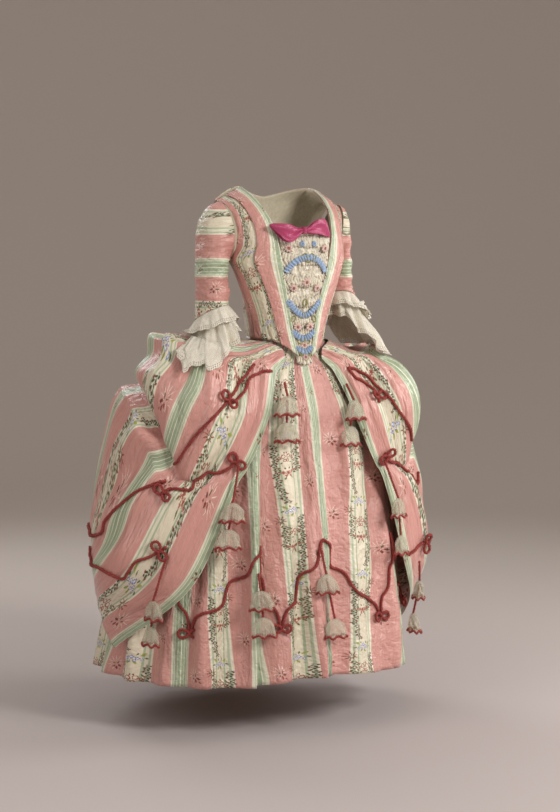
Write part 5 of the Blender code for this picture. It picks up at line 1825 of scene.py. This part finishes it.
def on_grid(
    grid: Grid, down_keys: Grid, across_keys: Grid, down: Grid, across: Grid
) -> tuple[Grid, Grid]:
    """Points of a face and its outward directions, for columns that run to the wearer's right.

    Args:
        grid: The face's points.
        down_keys: The place of each of its rows.
        across_keys: The place of each of its columns.
        down: The rows' places asked for.
        across: The columns' places asked for.

    Returns:
        The points and the directions.
    """

    def cell(keys: Grid, places: Grid) -> tuple[Grid, Grid]:
        """The last key up to each place, and the share of the way to the next."""
        i = np.clip(np.searchsorted(keys, places, side="right") - 1, 0, len(keys) - 2)
        return i, ((places - keys[i]) / (keys[i + 1] - keys[i]))[:, None]

    i, f = cell(down_keys, down)
    j, g = cell(across_keys, across)

    def between(values: Grid) -> Grid:
        """Values between the face's points."""
        near = values[i, j] * (1 - g) + values[i, j + 1] * g
        far = values[i + 1, j] * (1 - g) + values[i + 1, j + 1] * g
        return near * (1 - f) + far * f

    return between(grid), unit(between(outward_of(grid)))


@dataclass
class Trimming:
    """The chenille cords on the skirts, with their knots."""

    pile: Pile
    petticoat: Petticoat
    robe: RobeSkirts
    radius: float = 0.0033
    pile_length: float = 0.0026
    stand: float = 0.0036
    knot: float = 0.0135
    radius_in_knot: float = 0.003
    point_samples: int = 12  # of the petticoat's cord, from one point step to the next
    knot_depth: float = 0.6  # the least drop of a point with a knot

    def build(self) -> None:
        """Builds the pieces."""
        for seed, route in enumerate(CORD_ROUTES):
            self._robe_cord(route, seed)
        self._petticoat_cord()

    def _lay(self, name: str, lines: Sequence[Line], seed: int) -> None:
        """Lays one cord."""
        piece = self.pile.lay(name + "_chenille", lines, Radius=self.radius, Step=CORD_STEP,
                              Pile=self.pile_length, Density=FUR_DENSITY, Seed=seed)
        dressed(piece, "chenille", name)

    def _knot(self, middle: Grid, along: Grid, outward: Grid) -> list[Line]:
        """Two loops of cord at a knot, to both sides of the line."""
        aside = unit(np.cross(outward, along))
        angle = np.linspace(0, FULL_TURN, 20, endpoint=False)[:, None]
        loops = []
        for way, size in ((-1, 1.0), (1, 0.9)):
            reach = self.knot * size * (1 - np.cos(angle))
            lift = self.knot * 0.72 * size * np.sin(angle) * (1 - np.cos(angle) * 0.3)
            rise = outward * (self.radius_in_knot + 0.15 * reach)
            loops.append((middle + aside * reach * way - along * lift + rise, True))
        return loops

    def _robe_cord(self, route: Route, seed: int) -> None:
        """Lays a cord on a robe skirt."""
        face, downs, places = self.robe.faces[route.side]
        lines = []
        for points in (route.branch, route.points):
            if not points:
                continue
            across, down = curve_through(points, 24 * len(points)).T
            path, outward = on_grid(face, downs, places, down, across)
            outward = outward * route.side.value
            path = path + outward * self.stand
            lines.append((evenly(path, CORD_STEP), False))
        for share in route.knots:
            k = int(share * len(path))
            along = unit(path[k + 2] - path[k - 2])
            lines += self._knot(path[k], along, outward[k])
        self._lay(route.name, lines, seed)

    def _petticoat_cord(self) -> None:
        """Lays the cord that hangs in points round the petticoat."""
        turns, drops = [], []
        rows = PETTICOAT_POINTS + ((PETTICOAT_POINTS[0][0] + 360, PETTICOAT_POINTS[0][1]),)
        back = tuple((1 - share, 1 - fall) for share, fall in POINT_STEPS[:0:-1])
        for (turn, drop), (next_turn, next_drop) in zip(rows, rows[1:]):
            steps = ((0, 0),) + back if next_drop < drop else POINT_STEPS
            turns += [turn + (next_turn - turn) * share for share, _ in steps]
            drops += [drop + (next_drop - drop) * fall for _, fall in steps]
        points = list(zip(turns + [rows[-1][0]], drops + [rows[-1][1]]))
        curve = curve_through(points, self.point_samples * len(turns) + 1)[:-1]
        keys = column(PETTICOAT_FOLDS, "turn")
        turn = (curve[:, 0] + 180) % 360 - 180
        phase = np.interp(turn, np.append(keys, 180), np.arange(len(keys) + 1))
        skirt = self.petticoat
        path, outward = on_grid(skirt.face, skirt.drops, skirt.phases, curve[:, 1], phase)
        path = path + outward * self.stand
        lines = [(path, True)]
        down = np.array((0.0, 0.0, -1.0))
        for k, (_, drop) in enumerate(PETTICOAT_POINTS):
            if drop > self.knot_depth:
                place = self.point_samples * len(POINT_STEPS) * k
                lines += self._knot(path[place], down, outward[place])
        self._lay("petticoat_cord", lines, 40)


@dataclass
class Tassels:
    """The gauze bells that hang in pairs on cords."""

    finishes: Finishes
    pile: Pile
    nodes: dict[str, Object]
    bell: float = 0.054
    width: float = 0.125  # of a bell's gauze, before it was gathered
    flutes: int = 6
    flute: float = 0.10
    flute_steps: int = 14
    rows: int = 22
    crush: float = 0.16
    scallop: float = 0.007
    cord_inside: float = 0.01
    rim: float = 0.0280
    flatness: float = 0.5
    radius: float = 0.0026
    pile_length: float = 0.0024
    outline: Rows = (
        (0.0, 0.10), (0.05, 0.34), (0.14, 0.56), (0.3, 0.76), (0.55, 0.90), (0.8, 0.98),
        (1.0, 1.04),
    )

    def build(self) -> None:
        """Builds the pieces."""
        for seed, (name, gap) in enumerate(TASSELS):
            self._tassel(name, gap, seed)

    def _tassel(self, name: str, gap: float, seed: int) -> None:
        """Builds one tassel where its node hangs."""
        mesh = self.nodes[name].data
        points = np.empty(3 * len(mesh.vertices))
        mesh.vertices.foreach_get("co", points)
        points = points.reshape(-1, 3)
        low, top = points[:, 2].min(), points[:, 2].max()
        bells, lines = [], []
        for start in (low, low + self.bell + gap):
            rim, apex = (
                points[np.abs(points[:, 2] - height) < 0.007].mean(axis=0)
                for height in (start + 0.004, start + self.bell - 0.003)
            )
            rim[2], apex[2] = start + 0.004, start + self.bell - 0.001
            bells.append((rim, apex))
        knot = points[points[:, 2] > top - 0.004].mean(axis=0)
        lower, upper = bells[0][1], bells[1][1]
        for ends in ((knot, upper), (upper - (0, 0, self.cord_inside), lower)):
            lines.append((evenly(np.array(ends), CORD_STEP), False))
        for k, (rim, apex) in enumerate(bells):
            nodes = () if k else (name,)
            lines.append(self._bell(f"{name}_bell_{k + 1}", nodes, rim, apex, 2 * seed + k))
        cord = self.pile.lay(f"{name}_chenille", lines, Radius=self.radius, Step=CORD_STEP,
                             Pile=self.pile_length, Density=FUR_DENSITY, Seed=60 + seed)
        dressed(cord, "chenille")

    def _bell(self, name: str, nodes: Sequence[str], rim: Grid, apex: Grid, seed: int) -> Line:
        """Builds one bell of gauze; the result is the scalloped line of its fringe."""
        facing = unit(np.array((rim[0] * 0.35, rim[1], 0.0)))
        aside = np.array((-facing[1], facing[0], 0.0))
        count = self.flutes * self.flute_steps
        keys, shares = zip(*self.outline)
        round_it, down = grid_of(np.linspace(0, 1, self.rows), np.arange(count + 1) / count)
        turn = FULL_TURN * (round_it + 0.13 * seed)
        crush_v = down * 4 + 3 * np.sin(turn)
        crush = self.crush * soft_noise(2 * np.cos(turn) + 20, crush_v, 200 + seed)
        flute = self.flute * down**0.7 * np.cos(self.flutes * turn)
        wave = 1 + flute + crush * np.sin(np.pi * down) ** 0.5
        angle = FULL_TURN * round_it[..., None]
        out = (self.rim * smooth(down, keys, shares) * wave)[..., None]
        plan = np.cos(angle) * aside + self.flatness * np.sin(angle) * facing
        ring = apex + (rim - apex) * down[..., None] + out * plan
        scallop = self.scallop * np.abs(np.sin(self.flutes * turn / 2)) ** 1.2
        ring[..., 2] += down**3 * scallop
        uv = np.stack([round_it * self.width, (1 - down) * self.bell], -1)
        gauze = [self.finishes.gauze]
        piece = cloth(name, ring[:, :-1][:, ::-1], turned(uv), gauze, THIN_WALL, closed=True)
        dressed(piece, "net", *nodes)
        return ring[-1, :-1], True


@dataclass
class Garlands:
    """The stomacher's trimming: ruched ribbon swags, rosettes and loops of thin cord."""

    finishes: Finishes
    ribbon_half: float = 0.0072
    ruche: float = 0.0075
    gather: float = 0.22
    puff: float = 0.0026
    stand: float = 0.0055
    ruches: int = 17
    ruche_span: float = 0.84
    ruche_sag: float = 0.035
    ruche_half: float = 0.0105
    ruche_stand: float = 0.0008
    petals: int = 9
    rosette_size: float = 1.25
    heart: float = 0.0020
    fur: float = 200000.0  # hairs of thin cord on a square metre
    # Swags: the half-span as a share of the width, where they start down the panel, and their sag.
    swags: Rows = (
        (0.78, 0.24, -0.075), (0.74, 0.40, 0.075), (0.70, 0.60, 0.060), (0.66, 0.80, 0.045),
    )
    # Rosettes: places across and down and the radius; one off the middle has a twin. Blue ones
    # are of ribbon.
    pink: Rows = (
        (-0.62, 0.11, 0.0085), (0.0, 0.29, 0.0095), (-0.52, 0.32, 0.0080), (-0.40, 0.56, 0.0090),
        (0.0, 0.755, 0.0085), (0.0, 0.92, 0.0065),
    )
    blue: Rows = (
        (-0.20, 0.08, 0.0060), (-0.76, 0.40, 0.0065), (-0.74, 0.60, 0.0060), (-0.70, 0.80, 0.0055),
    )
    # Loops of thin cord: places across and down, half the width, half the height, and a turn.
    loops: Rows = (
        (0.0, 0.175, 0.009, 0.007, 0.0), (-0.16, 0.16, 0.009, 0.005, 0.7),
        (-0.62, 0.50, 0.009, 0.005, 0.9), (-0.22, 0.69, 0.010, 0.006, 0.3),
        (0.0, 0.40, 0.006, 0.009, 0.0), (-0.12, 0.475, 0.008, 0.005, 0.7),
        (-0.40, 0.87, 0.006, 0.004, 0.5),
    )

    def build(self) -> None:
        """Builds the pieces."""
        ribbons = [self._swag(*row, self.ribbon_half, self.stand) for row in self.swags]
        ruches = [
            self._swag(self.ruche_span, start, self.ruche_sag * (-1) ** k, self.ruche_half,
                       self.ruche_stand)
            for k, start in enumerate(np.linspace(0.04, 0.92, self.ruches))
        ]
        self._piece("stomacher_ruches", ruches, self.finishes.cream)
        pink = list(with_twins(self.pink))
        ribbons += [self._rosette(*row) for row in with_twins(self.blue)]
        self._piece("stomacher_ribbon", ribbons, self.finishes.ribbon)
        petals = [self._rosette(*row) for row in pink]
        self._piece("stomacher_rosettes", petals, self.finishes.petal)
        lines = [(self._loop(*row), True) for row in with_twins(self.loops)]
        loops = Pile(self.finishes.leaf).lay("stomacher_loops", lines, Radius=0.0014, Step=0.002,
                                             Pile=0.0010, Density=self.fur, Seed=5)
        dressed(loops, "ruched_silk")
        lines = [(self._loop(*row[:2], self.heart, self.heart, 0.0), True) for row in pink]
        hearts = Pile(self.finishes.heart).lay("stomacher_hearts", lines, Radius=0.0024,
                                               Step=0.0015, Pile=0.0012, Density=self.fur, Seed=6)
        dressed(hearts, "chenille")

    def _at(self, across: Grid, down: Grid) -> tuple[Grid, Grid, Grid, Grid]:
        """Points on the panel, with its directions out, across and up."""
        step = 1e-3
        point = stomacher_face(down, across)
        aside = unit(stomacher_face(down, across + step) - point)
        upward = unit(stomacher_face(down - step, across) - point)
        return point, unit(np.cross(aside, upward)), aside, upward

    def _swag(
        self, half: float, start: float, sag: float, ribbon_half: float, stand: float
    ) -> Grid:
        """A ruched ribbon that hangs between two places."""
        share = np.linspace(-1, 1, 91)
        point, outward = self._at(half * share, start + sag * (1 - share**2))[:2]
        run = run_down(point)
        pleat = FULL_TURN * run / self.ruche + 1.1 * np.sin(170 * run + 40 * start) + 25 * start
        over = unit(np.cross(outward, np.gradient(point, axis=0)))
        edges = []
        for row in np.linspace(-1, 1, 7):
            wide = ribbon_half * row * (1 + self.gather * np.cos(pleat + 0.6 * row))
            lift = stand + self.puff * (1 - 0.6 * row**2) * (1 + np.cos(pleat + 1.4 * row))
            edges.append(point + over * wide[:, None] + outward * lift[:, None])
        return np.array(edges)

    def _rosette(self, across: float, down: float, radius: float) -> Grid:
        """A gathered round of ribbon."""
        point, outward, aside, upward = self._at(np.array([across]), np.array([down]))
        angle = np.linspace(0, FULL_TURN, 49)
        petal = np.cos(self.petals * angle)
        plan = np.cos(angle)[:, None] * aside + np.sin(angle)[:, None] * upward
        rings = []
        for share in np.linspace(0.12, 1, 6):
            reach = self.rosette_size * radius * share * (1 + 0.16 * share * petal)
            lift = 0.0030 * math.sin(math.pi * share)
            lift = self.stand + lift + 0.0012 * share * np.cos(self.petals * angle + 1.0)
            rings.append(point + reach[:, None] * plan + outward * lift[:, None])
        return np.array(rings)

    def _loop(self, across: float, down: float, wide: float, high: float, turn: float) -> Grid:
        """A closed loop of cord on the panel."""
        point, outward, aside, upward = self._at(np.array([across]), np.array([down]))
        angle = np.linspace(0, FULL_TURN, 24, endpoint=False)[:, None]
        x, y = wide * np.cos(angle), high * np.sin(angle)
        x, y = x * math.cos(turn) - y * math.sin(turn), x * math.sin(turn) + y * math.cos(turn)
        return point + x * aside + y * upward + outward * (self.stand + 0.0015)

    @staticmethod
    def _piece(name: str, grids: Sequence[Grid], material: Material) -> None:
        """Joins grids into one piece of ribbon."""
        starts = np.cumsum([0] + [grid[..., 0].size for grid in grids])
        faces = np.concatenate([
            corners(start + np.arange(grid[..., 0].size).reshape(grid.shape[:2]))[:, (0, 3, 2, 1)]
            for start, grid in zip(starts, grids)
        ])
        points = np.concatenate([grid.reshape(-1, 3) for grid in grids])
        uv = np.concatenate([
            np.stack([run_across(grid), run_down(grid)], -1).reshape(-1, 2) for grid in grids
        ])
        dressed(walled(name, points, faces, uv[faces], [material], THIN_WALL), "ruched_silk")


def with_twins(rows: Sequence[Sequence[float]]) -> Iterator[tuple[float, ...]]:
    """The rows, each one off the middle followed by its twin on the other side."""
    for row in rows:
        yield tuple(row)
        if row[0]:
            yield (-row[0], *row[1:4], *(-turn for turn in row[4:]))


@dataclass
class Bow:
    """The satin bow on the breast."""

    finishes: Finishes
    middle: tuple[float, float, float] = (-0.018, -0.103, 0.266)
    depth: float = 0.011
    curve: float = 3.0
    fold: float = 0.0035
    pinch: float = 0.0020
    knot_half: float = 0.0062
    knot_height: float = 0.017
    # For each loop the reach, with the lower and the upper edge there.
    right_loop: Rows = (
        (0.004, -0.005, 0.005), (0.014, -0.013, 0.006), (0.026, -0.023, 0.008),
        (0.038, -0.029, 0.013), (0.048, -0.026, 0.015), (0.064, -0.010, 0.016),
        (0.076, 0.002, 0.016), (0.084, 0.010, 0.014),
    )
    left_loop: Rows = (
        (0.004, -0.005, 0.005), (0.014, -0.007, 0.009), (0.030, -0.008, 0.021),
        (0.045, -0.009, 0.027), (0.058, -0.011, 0.029), (0.070, -0.013, 0.022),
        (0.080, -0.015, 0.004), (0.086, -0.016, -0.010),
    )

    def build(self) -> None:
        """Builds the loops and the knot."""
        turn, share = grid_of(np.linspace(1, -1, 40), np.arange(97) / 96 * FULL_TURN)
        self._loop(Side.RIGHT, self.right_loop, turn, share)
        self._loop(Side.LEFT, self.left_loop, turn, share)
        ribs = 1 + 0.12 * np.cos(5 * np.pi * share)
        y = self.depth * 0.8 * np.sin(turn) * ribs
        x = self.knot_half * np.cos(turn) * (0.8 + 0.2 * share**2)
        knot = np.stack([x, y, self.knot_height / 2 * share], -1)
        piece = self._satin("bow_knot", knot, np.stack([share * 0.02, turn * 0.005], -1), Side.LEFT)

    def _loop(self, side: Side, table: Sequence[Sequence[float]], turn: Grid, share: Grid) -> None:
        """Builds one loop."""
        outward = (1 - np.cos(turn)) / 2
        reach, low, high = zip(*table)
        x = reach[0] + (reach[-1] - reach[0]) * outward
        bottom, top = smooth(x, reach, low), smooth(x, reach, high)
        z = bottom + (top - bottom) * (share + 1) / 2
        fold = self.fold * np.sin(2.6 * share + 5 * outward) * np.sin(np.pi * outward) ** 0.5
        pinch = self.pinch * np.cos(8 * share) * (1 - outward) ** 2
        y = self.depth * np.sin(turn) * (0.45 + 0.55 * outward) * (1 - 0.25 * share**2)
        loop = np.stack([x, y + fold + pinch + self.curve * x**2, z], -1)
        uv = np.stack([share * 0.02, outward * 0.15], -1)
        piece = self._satin("bow_loop", loop, uv, side, "_" + side.word)

    def _satin(
        self, name: str, grid: Grid, uv: Grid, side: Side, ending: str = ""
    ) -> Object:
        """Makes a ring of satin in the bow's place and lets it stand for its node."""
        points, places = ringed(grid, uv, side)
        satin = [self.finishes.satin]
        piece = cloth(f"{name}_satin{ending}", points + self.middle, places, satin, SATIN_WALL,
                      closed=True)
        return dressed(piece, "satin", name + ending)


class Lamp(NamedTuple):
    """A square soft light: where it stands from the aim, its size, its power and its colour."""

    name: str
    right: float
    back: float
    up: float
    size: float
    power: float
    colour: tuple[float, float, float]


@dataclass
class Studio:
    """The floor, the backdrop, the soft lights and the camera."""

    azimuth: float = -30.0
    distance: float = 4.8
    aim_right: float = -0.0225
    aim_height: float = -0.17
    camera_height: float = 0.15
    lens: float = 85.12
    film: float = 36.0
    floor_radius: float = 4.4
    bend_radius: float = 3.2
    wall_height: float = 7.0
    # The floor is painted darker near the middle, as painted shade round the garment, and turns
    # lighter far out between the distances of the fade.
    near_floor: str = "b6acaa"
    far_floor: str = "ccc3bc"
    fade: tuple[float, float] = (0.5, 3.2)
    sky: str = "c6beb6"
    sky_strength: float = 0.64
    lamps: tuple[Lamp, ...] = (
        Lamp("key", 2.4, 2.5, 1.6, 1.0, 98.0, (1.0, 0.985, 0.97)),
        Lamp("fill", -2.6, 2.4, 1.5, 2.4, 39.0, (1.0, 0.985, 0.975)),
        Lamp("side", 2.8, -0.4, 0.6, 1.2, 42.0, (1.0, 0.985, 0.975)),
        Lamp("back", -1.8, -2.4, 1.9, 1.8, 36.0, (0.97, 0.98, 1.0)),
    )

    def build(self) -> None:
        """Builds them all."""
        turn = math.radians(self.azimuth)
        right = Vector((math.cos(turn), math.sin(turn), 0.0))
        back = Vector((math.sin(turn), -math.cos(turn), 0.0))
        up = Vector((0.0, 0.0, 1.0))
        target = right * self.aim_right + up * self.aim_height
        data = bpy.data.cameras.new("camera")
        data.sensor_fit, data.sensor_height, data.lens = "VERTICAL", self.film, self.lens
        place = right * self.aim_right + back * self.distance + up * self.camera_height
        bpy.context.scene.camera = self._aimed(data, place, target)
        self._floor()
        for lamp in self.lamps:
            data = bpy.data.lights.new(lamp.name, "AREA")
            data.shape, data.size, data.energy = "SQUARE", lamp.size, lamp.power
            data.color = lamp.colour
            away = right * lamp.right + back * lamp.back + up * lamp.up
            self._aimed(data, target + away, target)
        world = bpy.data.worlds.new("studio")
        world.use_nodes = True
        sky = world.node_tree.nodes["Background"].inputs
        sky["Color"].default_value = dye(self.sky)
        sky["Strength"].default_value = self.sky_strength
        bpy.context.scene.world = world
        bpy.context.scene.view_settings.view_transform = "Standard"

    @staticmethod
    def _aimed(data: ID, place: Vector, target: Vector) -> Object:
        """A camera or a light at a place, turned to the target."""
        piece = in_scene(data.name, data)
        piece.location = place
        piece.rotation_euler = (target - place).to_track_quat("-Z", "Y").to_euler()
        return piece

    def _floor(self) -> None:
        """Builds the floor, which rises far out into a wall with no edge between them, its colour
        painted darker near the middle as shade.
        """
        radii = np.concatenate([[0.01, 0.3, 0.6, 1.0], np.linspace(1.4, self.floor_radius, 12)])
        bend = np.linspace(0, np.pi / 2, 24)[1:]
        edge = self.floor_radius + self.bend_radius * np.sin(bend)
        out = np.concatenate([radii, edge, edge[-1:]])
        rise = self.bend_radius * (1 - np.cos(bend))
        height = np.concatenate([0 * radii, rise, [self.wall_height]])
        angle = np.linspace(0, FULL_TURN, 96, endpoint=False)
        plan = out[:, None, None] * np.stack([np.cos(angle), np.sin(angle)], -1)
        grid = placed(plan, FLOOR + height[:, None])
        index = np.arange(grid[..., 0].size).reshape(grid.shape[:2])
        after = np.roll(index, -1, axis=1)
        faces = np.stack([index[:-1], index[1:], after[1:], after[:-1]], -1).reshape(-1, 4)
        mesh = bpy.data.meshes.new("floor")
        mesh.from_pydata(grid.reshape(-1, 3).tolist(), [], faces.tolist() + [index[0].tolist()])
        mesh.shade_smooth()
        material, graph, shader = new_material("floor")
        place = Signal(graph, graph.add("ShaderNodeTexCoord").outputs["Object"])
        parts = graph.add("ShaderNodeSeparateXYZ", Vector=place)
        x, y = Signal(graph, parts.outputs[0]), Signal(graph, parts.outputs[1])
        reach = graph.math("SQRT", x * x + y * y)
        # Painted shade: darker near the middle, lighter out to the far colour.
        near, end = self.fade
        far = graph.math("MULTIPLY", (reach - near) / (end - near), 1.0, clamp=True)
        colour = graph.mix(far, dye(self.near_floor), dye(self.far_floor))
        graph.put(shader.inputs["Base Color"], colour)
        shader.inputs["Roughness"].default_value = 0.9
        mesh.materials.append(material)
        in_scene("floor", mesh)


def main() -> None:
    """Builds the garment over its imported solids."""
    logging.basicConfig(level=logging.INFO, format="%(name)s: %(message)s")
    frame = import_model()
    finishes = Finishes()
    pile = Pile(finishes.chenille)
    petticoat, robe = Petticoat(finishes), RobeSkirts(finishes)
    parts = (
        petticoat, robe, Bodice(finishes), Sleeves(finishes), Trimming(pile, petticoat, robe),
        Tassels(finishes, pile, frame["nodes"]), Garlands(finishes), Bow(finishes), Studio(),
    )
    for part in parts:
        part.build()


if __name__ == "__main__":
    main()
